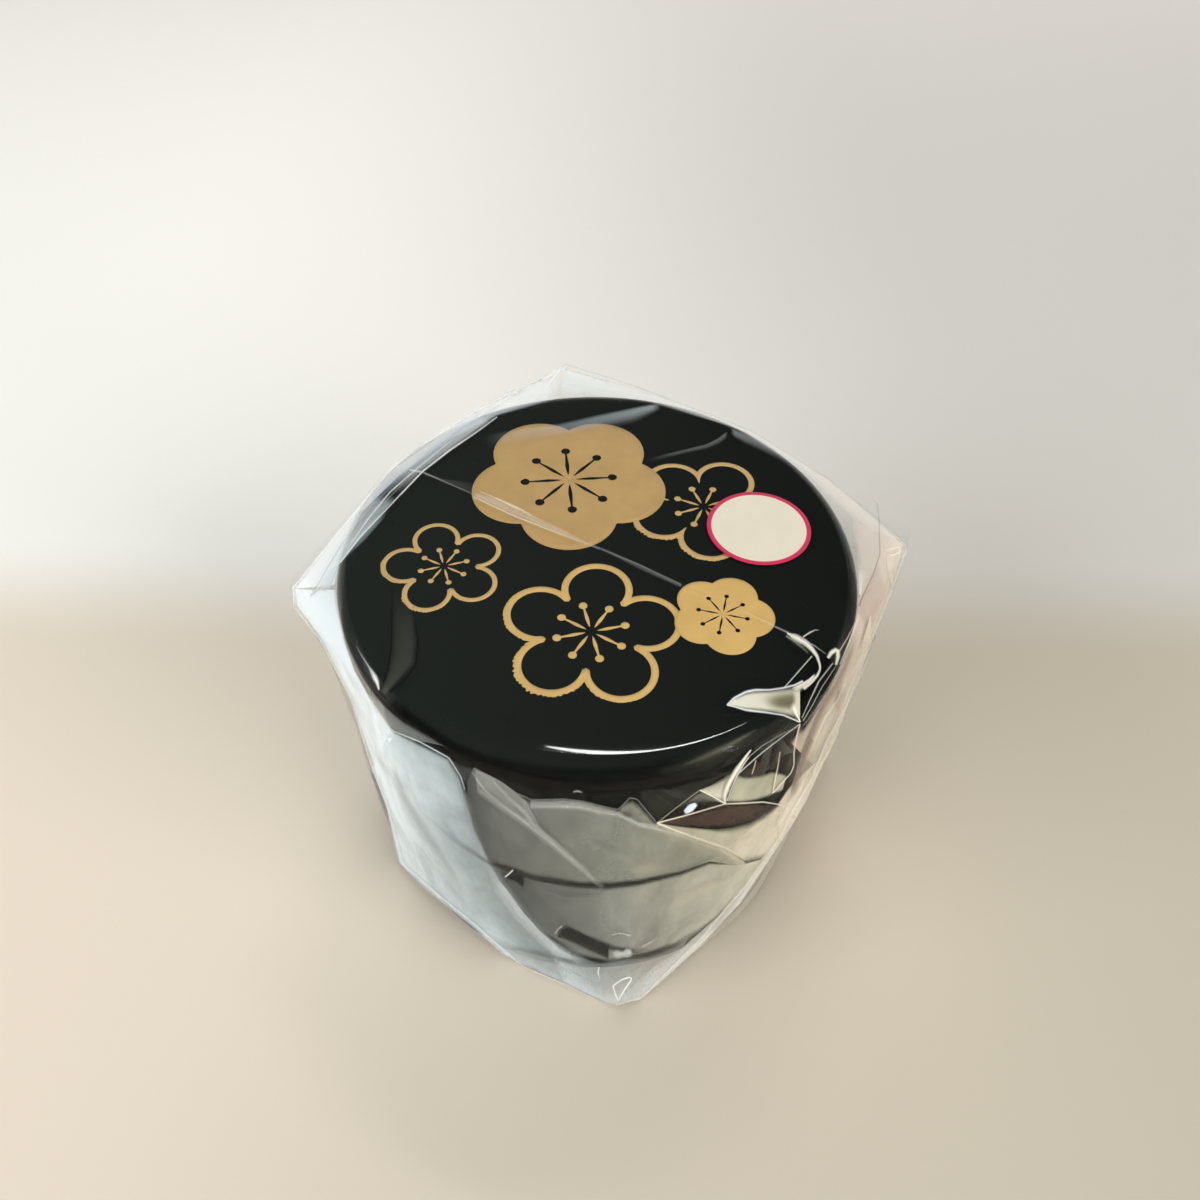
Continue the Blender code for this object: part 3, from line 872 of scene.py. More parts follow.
# The skin of the bag. Columns follow the ears, so that each crest is a clean edge: between two ears the
# columns share out the angle evenly. Rows run out over the top, over the shoulder and down to the open hem
def makeFilmSkin():
    ears = np.radians(np.array(film["earTurns"] + (film["earTurns"][0] + 360,)))
    leans = np.radians(np.array(film["earLeans"] + (film["earLeans"][0],)))
    place = np.arange(film["columns"]) / film["columns"] * len(film["earTurns"])
    number = place.astype(int)
    share = place - number
    out = np.linspace(0, 1, film["topRows"])[1:]
    bend = np.linspace(0, math.pi / 2, film["shoulderRows"] + 1)[1:]
    shoulder = film["shoulder"] * (1 - np.cos(bend))
    wall = np.linspace(film["shoulder"], filmHeight, film["wallRows"] + 1)[1:]
    depths = np.concatenate([0 * out, shoulder, wall])[:, None]
    shares = np.concatenate([out, 1 + 0 * shoulder, 1 + 0 * wall])[:, None]
    down = depths / filmHeight
    azimuths = (ears[number] + leans[number] * down) * (1 - share)
    azimuths = azimuths + (ears[number + 1] + leans[number + 1] * down) * share
    points = filmPoints(azimuths, depths + 0 * azimuths, shares + 0 * azimuths)
    rows, columns = azimuths.shape
    hub = np.array([[0, 0, film["top"]]])
    faces = gridFaces(rows, columns, closed=True).tolist() + fan(rows * columns, 0, columns)
    skin = makePiece("filmSkin", np.concatenate([points.reshape(-1, 3), hub]), faces, filmMaterial)
    setVeil(skin, *skinVeil(azimuths, depths, points[..., 0]))
    return skin


filmSkin = makeFilmSkin()
print("film skin made")


# folds of the film: milky doubled layers, painted highlights and painted shade, each drawn between two lines of
# pixels of the photograph
def resampled(line, count):
    line = np.array(line, float)
    along = np.concatenate([[0], np.cumsum(np.linalg.norm(np.diff(line, axis=0), axis=1))])
    at = np.linspace(0, along[-1], count)
    return np.stack([np.interp(at, along, line[:, axis]) for axis in range(line.shape[1])], -1)


# Softens a share t that runs from 0 to 1, so that it dies away over first at its start and over last at its
# end
def faded(t, first, last):
    rise = np.clip(t / first, 0, 1) if first else 1 + 0 * t
    fall = np.clip((1 - t) / last, 0, 1) if last else 1 + 0 * t
    return (rise * fall) ** 2 * (3 - 2 * rise * fall)


# A fold is the surface (1 - t) a(s) + t b(s) between its two lines, cast on the film. Its veil and its tones
# are given at its corners, a's start and end and then b's. fade and ends are the shares of its width and of
# its length over which its sides and ends die away. Its grid's cells are cell pixels long
def foldGrid(fold):
    first, second = np.array(fold["a"], float), np.array(fold["b"], float)
    length = max(np.linalg.norm(np.diff(line, axis=0), axis=1).sum() for line in (first, second))
    width = np.linalg.norm(first.mean(0) - second.mean(0))
    cell = fold.get("cell", 4)
    columns, rows = int(np.clip(length / cell, 8, 360 / cell)), int(np.clip(width / cell / 0.75, 6, 200 / cell))
    first, second = resampled(first, columns), resampled(second, columns)
    s, t = np.linspace(0, 1, columns)[None, :, None], np.linspace(0, 1, rows)[:, None, None]
    points = castOnFilm(first[None] * (1 - t) + second[None] * t, film["layerBase"] + fold.get("lift", 0.0004))

    def corners(values):
        values = np.array(values, float).reshape(len(values), -1)
        values = values[{1: [0, 0, 0, 0], 2: [0, 0, 1, 1], 4: [0, 1, 2, 3]}[len(values)]]
        return (values[0] * (1 - s) + values[1] * s) * (1 - t) + (values[2] * (1 - s) + values[3] * s) * t

    soft = 4.2 / max(width, 18)  # without fades of its own a fold has soft edges, about four pixels wide
    across, along = fold.get("fade", (soft, soft)), fold.get("ends", (0, 0))
    amounts = corners(fold["veil"]) * faded(t, *across) * faded(s, *along)
    tones = corners([screen(*tone) for tone in fold["tone"]])
    return points.reshape(-1, 3), gridFaces(rows, columns), tones.reshape(-1, 3), amounts.ravel()


# Joins grids into one piece on the bag, without the faces that have no veil at any corner
def joinGrids(name, grids, leastVeil=0.002):
    starts = np.cumsum([0] + [len(grid[0]) for grid in grids[:-1]])
    faces = np.concatenate([grid[1] + start for grid, start in zip(grids, starts)])
    points, tones, amounts = (np.concatenate([grid[part] for grid in grids]) for part in (0, 2, 3))
    faces = faces[amounts[faces].max(1) > leastVeil]
    used, faces = np.unique(faces, return_inverse=True)
    piece = makePiece(name, points[used], faces.reshape(-1, 4).tolist(), filmMaterial)
    setVeil(piece, tones[used], amounts[used])
    return piece


folds = {
    # left fin and the many-layered band behind the lid
    "leftFinTop": {
        "a": [(292, 589), (340, 530), (392, 468), (440, 433), (500, 395), (520, 380), (565, 362)],
        "b": [(337, 585), (341, 556), (362, 512), (400, 476), (450, 440), (497, 416), (560, 399)],
        "veil": (0.84, 0.38, 0.66, 0.32), "tone": (white, coolPale), "ends": (0, 0.05),
    },
    "leftBand": {
        "a": [(372, 490), (392, 468), (440, 433), (478, 408)],
        "b": [(398, 497), (422, 472), (460, 443), (497, 417)],
        "veil": (0.42, 0.58, 0.32, 0.4), "tone": (white, coolPale), "lift": 0.0007, "ends": (0.3, 0.1),
    },
    "leftBandLow": {
        "a": [(292, 589), (310, 597), (342, 544), (372, 490)],
        "b": [(330, 592), (340, 563), (381, 516), (398, 497)],
        "veil": (0.6, 0.38, 0.58, 0.38), "tone": (white, cool), "lift": 0.0007, "ends": (0.05, 0.1),
    },
    "leftFin": {
        "a": [(292, 589), (294, 607), (307, 622), (320, 640), (335, 668), (351, 700), (372, 768)],
        "b": [(337, 590), (340, 612), (345, 640), (355, 670), (370, 697), (384, 716), (396, 733)],
        "veil": (0.78, 0.8, 0.78, 0.82), "tone": (coolPale,),
    },
    "leftRimGrey": {
        "a": [(366, 693), (376, 712), (391, 730), (410, 741), (422, 741)],
        "b": [(374, 697), (388, 709), (404, 722), (424, 733), (447, 747)],
        "veil": (0.3, 0.35, 0.3, 0.18), "tone": (greyPale, grey), "lift": 0.0007,
    },
    # left panel, its lighter streaks and its two folds
    "leftPanel": {
        "a": [(372, 768), (386, 808), (398, 867), (428, 893), (474, 930), (520, 971), (564, 988),
              (604, 1005)],
        "b": [(391, 730), (449, 758), (461, 777), (465, 790), (475, 829), (491, 864), (513, 899), (541, 932),
              (599, 965)],
        "veil": (0.9, 0.53, 0.75, 0.27), "tone": (coolPale, cool, cool, coolDeep),
    },
    "leftPanelLight": {
        "a": [(392, 740), (400, 780), (420, 830), (450, 880), (470, 905)],
        "b": [(420, 750), (432, 790), (446, 835), (470, 880), (495, 915)],
        "veil": (0.5, 0.3, 0.1, 0.2), "tone": (coolPale,), "fade": (0.4, 0.5), "ends": (0.2, 0.3),
        "lift": 0.0007,
    },
    "leftPanelShade": {
        "a": [(384, 765), (398, 800), (428, 848), (462, 898)],
        "b": [(392, 762), (410, 800), (440, 845), (470, 893)],
        "veil": (0.3, 0.35, 0.3, 0.3), "tone": (coolDeep,), "fade": (0.5, 0.5), "ends": (0.2, 0.2),
        "lift": 0.0009,
    },
    "leftPanelFoot": {
        "a": [(489, 869), (508, 891), (523, 912), (541, 932), (560, 949), (580, 960)],
        "b": [(470, 880), (490, 905), (508, 928), (530, 948), (552, 962), (578, 972)],
        "veil": (0.55, 0.5, 0.16, 0.08), "tone": (greyPale, cool), "fade": (0, 0.9), "ends": (0.2, 0.1),
        "lift": 0.0007,
    },
    "rimShade": {
        "a": [(390, 690), (412, 712), (450, 738), (484, 752), (520, 760), (562, 765), (600, 766), (638, 763),
              (690, 750), (722, 738), (750, 722)],
        "b": [(377, 700), (400, 724), (440, 753), (470, 769), (500, 781), (530, 793), (562, 796), (600, 798),
              (622, 796), (650, 793), (690, 786), (725, 771), (752, 752)],
        "veil": (0.8, 0.34, 0.88, 0.26), "tone": ((8, 8, 7), (8, 8, 7)), "fade": (0.35, 0.12),
        "ends": (0.06, 0.3),
    },
    "rimWedge": {
        "a": [(449, 758), (460, 764), (474, 768)],
        "b": [(461, 777), (464, 786), (466, 780)],
        "veil": (0.22, 0.22, 0.16, 0.16), "tone": (greyDeep,),
    },
    # middle: one milky sheet over both tiers, with facets painted lighter, painted glows and painted shade on
    # it
    "middleUpper": {
        "a": [(474, 768), (486, 774), (501, 782), (516, 793), (532, 800), (547, 800), (563, 799), (581, 801),
              (601, 806), (618, 811), (626, 802), (633, 799), (640, 804), (657, 823), (686, 835), (709, 844),
              (726, 851), (745, 862)],
        "b": [(466, 782), (468, 806), (475, 829), (483, 847), (491, 864), (532, 878), (578, 885), (608, 886),
              (640, 882), (680, 873), (709, 862), (742, 866)],
        "veil": (0.27, 0.62, 0.1, 0.62), "tone": (grey, olive, grey, olive), "cell": 1.4,
    },
    "middleLower": {
        "a": [(491, 864), (532, 878), (578, 885), (608, 886), (640, 882), (680, 873), (709, 862), (742, 864),
              (766, 858)],
        "b": [(513, 899), (541, 932), (580, 958), (610, 963), (640, 958), (676, 946), (716, 920), (742, 892),
              (764, 862)],
        "veil": (0.09, 0.8, 0.15, 0.78), "tone": (grey, (208, 205, 184), grey, (210, 208, 190)), "cell": 1.4,
    },
    "middleTriangle": {
        "a": [(475, 770), (486, 774), (501, 782), (516, 793), (526, 801)],
        "b": [(477, 789), (490, 799), (508, 811), (524, 821), (547, 840)],
        "veil": (0.26, 0.26, 0.28, 0.16), "tone": (greyPale,), "lift": 0.0007, "fade": (0, 0.3),
    },
    "middleGlow": {
        "a": [(616, 868), (636, 862), (656, 858)],
        "b": [(622, 880), (640, 878), (662, 874)],
        "veil": (0.1, 0.35, 0.1, 0.3), "tone": (warm,), "fade": (0.5, 0.5), "ends": (0.5, 0.4),
        "lift": 0.0013,
    },
    "lowerShade": {
        "a": [(520, 890), (540, 900), (560, 915), (590, 925)],
        "b": [(530, 905), (548, 920), (566, 932), (594, 938)],
        "veil": (0.1, 0.3, 0.1, 0.2), "tone": (greyDeep,), "fade": (0.5, 0.5), "ends": (0.3, 0.4),
        "lift": 0.0007,
    },
    "peakDark": {
        "a": [(619, 812), (626, 811), (633, 812)],
        "b": [(622, 818), (629, 819), (637, 817)],
        "veil": (0.5, 0.5, 0.4, 0.3), "tone": (shadow,), "lift": 0.0013, "fade": (0.3, 0.5),
        "ends": (0.3, 0.3),
    },
    "topFacet": {
        "a": [(531, 800), (547, 800), (563, 799), (581, 801), (601, 806), (618, 811), (640, 822), (657, 823)],
        "b": [(530, 807), (555, 808), (578, 808), (600, 813), (618, 816), (639, 826), (650, 829), (660, 830)],
        "veil": (0.24, 0.3, 0.28, 0.35), "tone": (greyPale,), "lift": 0.001, "cell": 1.4,
    },
    "rightUnderCrease": {
        "a": [(657, 824), (686, 836), (709, 845), (726, 851), (746, 863)],
        "b": [(652, 838), (676, 850), (700, 858), (716, 862), (736, 872)],
        "veil": (0.2, 0.34, 0.06, 0.1), "tone": (warm,), "lift": 0.0013, "fade": (0, 0.8),
    },
    "lowerGlow": {
        "a": [(652, 900), (676, 892), (704, 880), (730, 872)],
        "b": [(660, 918), (684, 910), (712, 896), (736, 884)],
        "veil": (0.16, 0.5, 0.16, 0.52), "tone": (warm,), "lift": 0.0007, "fade": (0.5, 0.5),
        "ends": (0.4, 0.3),
    },
    "middleShade": {
        "a": [(583, 832), (610, 842), (636, 850)],
        "b": [(590, 846), (612, 856), (634, 862)],
        "veil": (0.34, 0.26, 0.26, 0.16), "tone": (greyDeep,), "lift": 0.001, "cell": 1.4, "fade": (0.5, 0.5),
        "ends": (0.4, 0.4),
    },
    # right: warm milky panel, a brown facet and a lens painted as dark reflections, the lens's painted glint
    # and a bright triangle of painted highlight
    "rightPanel": {
        "a": [(776, 806), (762, 817), (747, 823), (732, 827), (716, 829), (701, 828), (678, 826), (657, 823)],
        "b": [(796, 816), (784, 838), (768, 858), (745, 863), (726, 851), (709, 845), (686, 836), (657, 825)],
        "veil": (0.85, 0.76, 0.8, 0.7), "tone": (warm, olive, warmPale, warm),
    },
    "rightStrip": {
        "a": [(787, 790), (776, 806), (775, 840), (745, 880), (716, 918), (679, 950), (640, 975),
              (612, 1003)],
        "b": [(836, 742), (811, 793), (797, 818), (760, 875), (742, 902), (703, 944), (662, 983),
              (643, 1000)],
        "veil": (0.9, 0.5, 0.95, 0.56), "tone": ((238, 228, 208), grey, (232, 224, 207), coolPale),
    },
    "brownFacet": {
        "a": [(657, 823), (684, 816), (708, 809), (726, 804), (747, 803), (776, 806)],
        "b": [(657, 823), (678, 826), (701, 828), (732, 827), (760, 818), (776, 806)],
        "veil": (0.9, 0.94, 0.9, 0.94), "tone": ((74, 60, 50), (66, 52, 44)), "lift": 0.0009,
    },
    "brownShade": {
        "a": [(752, 804), (765, 805), (776, 806)],
        "b": [(748, 822), (762, 817), (776, 806)],
        "veil": (0.1, 0.7, 0.1, 0.7), "tone": (dark,), "lift": 0.0011,
    },
    "lensDark": {
        "a": [(657, 823), (670, 812), (686, 803), (705, 802), (724, 803)],
        "b": [(657, 823), (672, 818), (686, 814), (706, 809), (726, 804)],
        "veil": (0.6, 0.7, 0.6, 0.7), "tone": (dark, brown), "lift": 0.0009,
    },
    "lensLight": {
        "a": [(680, 806), (690, 799), (701, 791), (712, 797), (722, 802)],
        "b": [(678, 809), (690, 807), (701, 805), (712, 803), (723, 803)],
        "veil": (0.1, 0.7, 0.05, 0.6), "tone": ((160, 162, 148), (150, 152, 140)), "lift": 0.0011,
        "fade": (0.2, 0.7),
    },
    "glint": {
        "a": [(683, 811), (688, 804), (696, 802)],
        "b": [(685, 815), (693, 812), (698, 805)],
        "veil": (0.95, 0.95, 0.95, 0.95), "tone": ((214, 226, 255), (240, 246, 255)), "lift": 0.0014,
        "ends": (0.15, 0.15),
    },
    "brightTriangle": {
        "a": [(700, 790), (712, 784), (729, 774), (738, 771)],
        "b": [(700, 791), (710, 797), (724, 803), (727, 790)],
        "veil": (0.55, 0.75, 0.8, 0.95), "tone": ((196, 192, 172), cream), "lift": 0.0011,
    },
    "beigePanel": {
        "a": [(738, 775), (747, 777), (762, 775), (773, 771), (787, 775)],
        "b": [(727, 803), (742, 803), (755, 801), (765, 798), (782, 791)],
        "veil": (0.78, 0.8, 0.86, 0.76), "tone": (olive, olive, (200, 196, 174), olive), "lift": 0.0007,
    },
    "darkNotchA": {
        "a": [(743, 772), (755, 763), (766, 758)],
        "b": [(748, 778), (757, 774), (766, 769)],
        "veil": (0.75, 0.75, 0.75, 0.75), "tone": (brown,), "lift": 0.0011,
    },
    "darkNotchB": {
        "a": [(766, 770), (775, 760), (784, 749)],
        "b": [(773, 770), (778, 764), (783, 756)],
        "veil": (0.7, 0.7, 0.7, 0.7), "tone": (brown,), "lift": 0.0011,
    },
    # right fin, clearer near the lid and crossed by brown and pink layers
    "rightFin": {
        "a": [(908, 545), (904, 560), (890, 596), (870, 645), (849, 700), (834, 742), (818, 770)],
        "b": [(850, 520), (858, 560), (858, 600), (851, 640), (838, 672), (818, 705), (790, 742)],
        "veil": (0.68, 0.66, 0.54, 0.58),
        "tone": ((226, 212, 197), (220, 206, 190), (222, 208, 194), (208, 194, 178)),
    },
    "rightFinLight": {
        "a": [(904, 560), (890, 596), (870, 645), (849, 700), (834, 742), (806, 790)],
        "b": [(893, 560), (880, 596), (859, 645), (840, 698), (825, 738), (798, 786)],
        "veil": (0.55, 0.6, 0.45, 0.5), "tone": (warmPale,), "lift": 0.0007, "fade": (0, 0.7),
        "ends": (0.1, 0.1),
    },
    "rightFinBrown": {
        "a": [(858, 622), (851, 645), (843, 665), (833, 685), (822, 702), (814, 722), (806, 742), (798, 765),
              (790, 792)],
        "b": [(863, 628), (857, 652), (850, 672), (841, 692), (830, 708), (820, 728), (812, 748), (804, 770),
              (795, 798)],
        "veil": (0.45, 0.8, 0.3, 0.6), "tone": ((132, 110, 98), (142, 120, 106)), "lift": 0.0009,
        "ends": (0.2, 0.05), "fade": (0.1, 0.6),
    },
    "rightFinBrownTwo": {
        "a": [(818, 742), (806, 762), (796, 784), (786, 806)],
        "b": [(824, 744), (812, 766), (802, 788), (790, 810)],
        "veil": (0.4, 0.6, 0.3, 0.45), "tone": ((132, 112, 100), (160, 140, 126)), "lift": 0.0011,
        "ends": (0.3, 0.3), "fade": (0.2, 0.7),
    },
    "rightFinPink": {
        "a": [(880, 556), (872, 575), (861, 600), (859, 614)],
        "b": [(891, 590), (884, 606), (876, 622), (868, 642)],
        "veil": (0.3, 0.55, 0.3, 0.5), "tone": ((200, 180, 166), (192, 170, 156)), "lift": 0.0009,
        "fade": (0.05, 0.35), "ends": (0.2, 0.25),
    },
    "rightFinSpot": {
        "a": [(841, 684), (837, 698), (833, 714)],
        "b": [(847, 688), (844, 702), (839, 716)],
        "veil": (0.6, 0.5, 0.5, 0.3), "tone": ((160, 140, 126), (176, 156, 142)), "lift": 0.0011,
        "fade": (0.25, 0.5), "ends": (0.3, 0.4),
    },
    "rightFinSpike": {
        "a": [(870, 616), (864, 634), (858, 654)],
        "b": [(871, 616), (872, 632), (870, 650)],
        "veil": (0.6, 0.6, 0.6, 0.4), "tone": ((236, 224, 212), (232, 220, 206)), "lift": 0.0011,
        "fade": (0.15, 0.2), "ends": (0, 0.4),
    },
    "rightLidGlow": {
        "a": [(856, 562), (858, 580), (859, 598)],
        "b": [(872, 566), (868, 582), (862, 598)],
        "veil": (0.4, 0.6, 0.2, 0.4), "tone": (cream,), "lift": 0.0007, "fade": (0.1, 0.7),
        "ends": (0.4, 0.1),
    },
    "rightDark": {
        "a": [(824, 650), (818, 664), (811, 680), (803, 692), (799, 706), (800, 722)],
        "b": [(842, 655), (839, 668), (831, 690), (821, 706), (811, 724), (800, 738)],
        "veil": (0.94, 0.94, 0.9, 0.8), "tone": (dark,), "lift": 0.0007, "ends": (0.15, 0.1),
    },
    "underLens": {
        "a": [(640, 790), (671, 787), (701, 780), (729, 772)],
        "b": [(645, 806), (657, 822), (680, 806), (700, 791)],
        "veil": (0.03, 0.05, 0.03, 0.05), "tone": (olive,),
    },
    # foot of the bag, with painted contact shadows, dark patches and painted glints
    "frontFoot": {
        "a": [(541, 930), (560, 946), (580, 957), (600, 962), (634, 957), (656, 951), (690, 935)],
        "b": [(566, 985), (585, 995), (604, 1004), (616, 1006), (630, 1001), (643, 997), (672, 970)],
        "veil": (0.28, 0.28, 0.6, 0.3), "tone": (cool, (176, 174, 160), coolPale, coolPale),
    },
    "contactPatch": {
        "a": [(558, 936), (559.6, 930), (563.5, 926), (568, 925.5), (577, 930), (586, 934.5), (597, 939),
              (608, 944)],
        "b": [(558, 937), (562, 939), (569.5, 942.5), (575, 945), (580, 947.5), (591, 953), (600, 957),
              (608, 961)],
        "veil": (0.97, 0.92, 0.97, 0.85), "tone": ((34, 36, 31), (40, 40, 36)), "lift": 0.0009,
    },
    "smallDark": {
        "a": [(505, 876), (511, 874), (516, 873), (523, 877)],
        "b": [(506, 878), (512, 881), (518, 885), (523, 889)],
        "veil": (0.96, 0.98, 0.8, 0.95), "tone": ((14, 15, 14), (40, 42, 38)), "lift": 0.0009,
    },
    # painted contact shadows at the box's foot, seen through the film
    "contactShadow": {
        "a": [(628, 955), (645, 952), (656, 949), (676, 942), (694, 934)],
        "b": [(628, 961), (645, 960), (656, 958), (676, 950), (694, 940)],
        "veil": (0.6, 0.6, 0.6, 0.4), "tone": ((44, 42, 39), (60, 57, 53)), "lift": 0.0009,
        "fade": (0.45, 0.45), "ends": (0.15, 0.5),
    },
    "contactShadowTwo": {
        "a": [(597, 940), (618, 946), (640, 948), (656, 943)],
        "b": [(600, 948), (618, 955), (640, 956), (656, 950)],
        "veil": (0.65, 0.45, 0.65, 0.3), "tone": ((40, 38, 36), (60, 58, 54)), "lift": 0.0009,
        "fade": (0.45, 0.45), "ends": (0.1, 0.5),
    },
    "footGlint": {
        "a": [(612, 951), (617, 948), (622, 951), (627, 947), (633, 949)],
        "b": [(612, 957), (618, 960), (623, 957), (628, 959), (633, 955)],
        "veil": (0.5, 0.75, 0.45, 0.6), "tone": (greyPale,), "lift": 0.0011, "fade": (0.35, 0.35),
        "ends": (0.15, 0.15),
    },
    "leftFootLine": {
        "a": [(543, 959), (560, 959), (578, 962), (590, 962), (600, 965)],
        "b": [(543, 961), (560, 963), (578, 967), (590, 967), (600, 969)],
        "veil": (0.45, 0.45, 0.4, 0.4), "tone": (greyDeep,), "lift": 0.0011, "fade": (0.4, 0.4),
        "ends": (0.3, 0.1),
    },
    # over the lid: a fold at its left, the leaf that curls at its right front, painted as a highlight with its
    # shade, and folds along its back edge
    "lidFoldLeft": {
        "a": [(392, 586), (392, 620), (391, 650), (388, 670), (381, 691)],
        "b": [(402, 588), (413, 606), (417, 640), (415, 664), (386, 694)],
        "veil": (0.01, 0.06, 0.03, 0.1), "tone": (olive,), "ends": (0.4, 0), "fade": (0.25, 0.25),
    },
    "leftWedge": {
        "a": [(344, 545), (366, 524), (390, 505)],
        "b": [(341, 563), (364, 542), (388, 514)],
        "veil": (0.42, 0.32, 0.28, 0.24), "tone": (cool,), "fade": (0.3, 0.3), "ends": (0.1, 0.3),
    },
    "leaf": {
        "a": [(727, 705), (734, 698), (746, 692), (755, 690), (769, 690), (783, 688), (792, 687), (800, 685)],
        "b": [(727, 705), (736, 707), (746, 710), (755, 711), (764, 712), (774, 713), (783, 715), (792, 717),
              (800, 722)],
        "veil": (0.88, 0.84, 0.92, 0.9), "tone": (cream, (226, 220, 198), (246, 240, 218), (218, 211, 187)),
        "lift": 0.0009,
    },
    "leafShade": {
        "a": [(757, 696), (768, 694), (781, 692), (790, 691), (797, 690)],
        "b": [(762, 707), (772, 710), (782, 712), (790, 712), (796, 708)],
        "veil": (0.4, 0.96, 0.4, 0.94), "tone": ((128, 124, 92), (84, 80, 54)), "lift": 0.0013,
        "fade": (0.35, 0.4), "ends": (0.55, 0.12),
    },
    "curlJoin": {
        "a": [(815, 673), (808, 679), (799, 684), (789, 688)],
        "b": [(818, 677), (811, 684), (804, 690), (796, 695)],
        "veil": (0.75, 0.9, 0.6, 0.7), "tone": (cream, (214, 210, 186)), "lift": 0.0014, "fade": (0.1, 0.6),
        "ends": (0.1, 0.2),
    },
    "leafRight": {
        "a": [(788, 707), (791, 711), (795, 716), (800, 722)],
        "b": [(794, 700), (796, 707), (798, 714), (801, 722)],
        "veil": (0.5, 0.98, 0.7, 0.98), "tone": (cream,), "lift": 0.0016, "fade": (0.5, 0.1),
        "ends": (0.3, 0),
    },
    "curlGlow": {
        "a": [(786, 634), (797, 638), (806, 643), (812, 649)],
        "b": [(786, 641), (795, 647), (803, 652), (809, 657)],
        "veil": (0.3, 0.15, 0.02, 0.02), "tone": (olive,), "lift": 0.0007, "fade": (0, 0.9),
        "ends": (0.3, 0.2),
    },
    "backFold": {
        "a": [(478, 436), (520, 428), (560, 423), (600, 414), (640, 406), (659, 403)],
        "b": [(480, 452), (520, 446), (560, 440), (600, 431), (636, 423), (661, 410)],
        "veil": (0.04, 0.5, 0.03, 0.2), "tone": (cool, greyPale), "fade": (0.25, 0.6), "ends": (0.2, 0.04),
        "lift": 0.0007,
    },
    "backFoldTwo": {
        "a": [(727, 431), (718, 438), (706, 444), (690, 448), (665, 454), (643, 460)],
        "b": [(729, 437), (720, 444), (708, 449), (690, 453), (665, 459), (643, 465)],
        "veil": (0.22, 0.1, 0.1, 0.03), "tone": (greyPale, grey), "fade": (0.2, 0.5), "ends": (0.05, 0.4),
        "lift": 0.0007,
    },
    "backRimFold": {
        "a": [(731, 428), (746, 434), (762, 441), (782, 453), (797, 466)],
        "b": [(731, 436), (745, 444), (760, 451), (779, 461), (794, 471)],
        "veil": (0.3, 0.1, 0.18, 0.05), "tone": (greyPale,), "fade": (0.1, 0.5), "ends": (0.05, 0.5),
        "lift": 0.0007,
    },
    "sealWedge": {
        "a": [(424, 472), (440, 478), (456, 486), (473, 494)],
        "b": [(425, 476), (438, 479), (455, 480), (472, 482)],
        "veil": (0.1, 0.04, 0.08, 0.02), "tone": (greyPale, grey), "lift": 0.0007,
    },
    "sealOverLarge": {
        "a": [(474, 492), (500, 498), (530, 513), (560, 528), (600, 546)],
        "b": [(474, 498), (498, 510), (528, 523), (560, 535), (600, 549)],
        "veil": (0.22, 0.14, 0.2, 0.1), "tone": (cream,), "lift": 0.0007, "fade": (0.2, 0.3),
        "ends": (0.05, 0.3),
    },
    "sealDark": {
        "a": [(601, 547), (640, 564), (681, 583)],
        "b": [(601, 550), (640, 570), (681, 588)],
        "veil": (0.08, 0.16, 0.06, 0.14), "tone": (greyPale,), "lift": 0.0007, "fade": (0.2, 0.4),
    },
    "backVeil": {
        "a": [(565, 362), (640, 388), (750, 430), (830, 480), (908, 545)],
        "b": [(560, 399), (640, 400), (735, 428), (800, 470), (850, 520)],
        "veil": (0.32, 0.54, 0.26, 0.4), "tone": (coolPale, (242, 230, 214), coolPale, (236, 222, 206)),
        "fade": (0.06, 0.4),
    },
}


# Round the back the film has folds of its own. Each starts at an azimuth and a depth, runs down the wall and
# drifts sideways: azimuth = start + drift * s + width * t. Its veil is full at one edge and dies away to the
# other
hidden = {
    "turns": (-46, 226),
    "columns": 46,
    "start": (0.20, 0.55),  # share of the way down
    "run": (0.25, 0.75),
    "lowest": 0.985,
    "drift": (-24, 24),  # degrees
    "bow": (-1.2, 1.2),
    "folds": {"seed": 11, "count": 42, "width": (3, 10), "rows": 9, "lift": 0.0006, "veil": (0.15, 0.5)},
    "creases": {"seed": 12, "count": 40, "width": (0.2, 0.4), "rows": 5, "lift": 0.0009, "veil": (0.25, 0.6)},
}


def hiddenGrids(kind):
    look, narrow = hidden[kind], kind == "creases"
    chance = np.random.default_rng(look["seed"])
    low, high = hidden["turns"]
    rows, columns = look["rows"], hidden["columns"]
    s, t = np.linspace(0, 1, columns)[None, :], np.linspace(-1, 1, rows)[:, None]
    across = 1 - np.abs(t) if narrow else ((1 - t) / 2) ** 1.6 * np.clip((1 + t) * 4, 0, 1)
    grids = []
    for number in range(look["count"]):
        share = (number + chance.uniform(0.1, 0.9)) / look["count"]
        start = low + (high - low) * share
        first = chance.uniform(*hidden["start"])
        last = min(first + chance.uniform(*hidden["run"]), hidden["lowest"])
        drift, width = chance.uniform(*hidden["drift"]), chance.uniform(*look["width"])
        bow = chance.uniform(*hidden["bow"]) * np.sin(math.pi * s)
        turns = np.radians(start + drift * s + bow + width * t * (0.4 + 0.6 * np.sin(math.pi * s)))
        depths = filmHeight * (first + (last - first) * s) + 0 * t
        points = filmPoints(turns, depths, 1 + 0 * turns, look["lift"])
        amounts = chance.uniform(*look["veil"]) * across * faded(s, 0.3, 0.3)
        amounts = amounts * np.clip(2 * unseenShare(turns, depths) - 1, 0, 1)
        # The tone turns from warm at the right to cool at the left: a painted tint of the light from each side
        tone = np.array(screen(*warmPale)) * (1 - share) + np.array(screen(*coolPale)) * share
        tones = np.tile(tone, (rows * columns, 1))
        grids.append((points.reshape(-1, 3), gridFaces(rows, columns), tones, amounts.ravel()))
    return grids


foldGrids = [foldGrid(fold) for fold in folds.values()]
filmFolds = joinGrids("filmFolds", foldGrids + hiddenGrids("folds"))
print("film folds made")
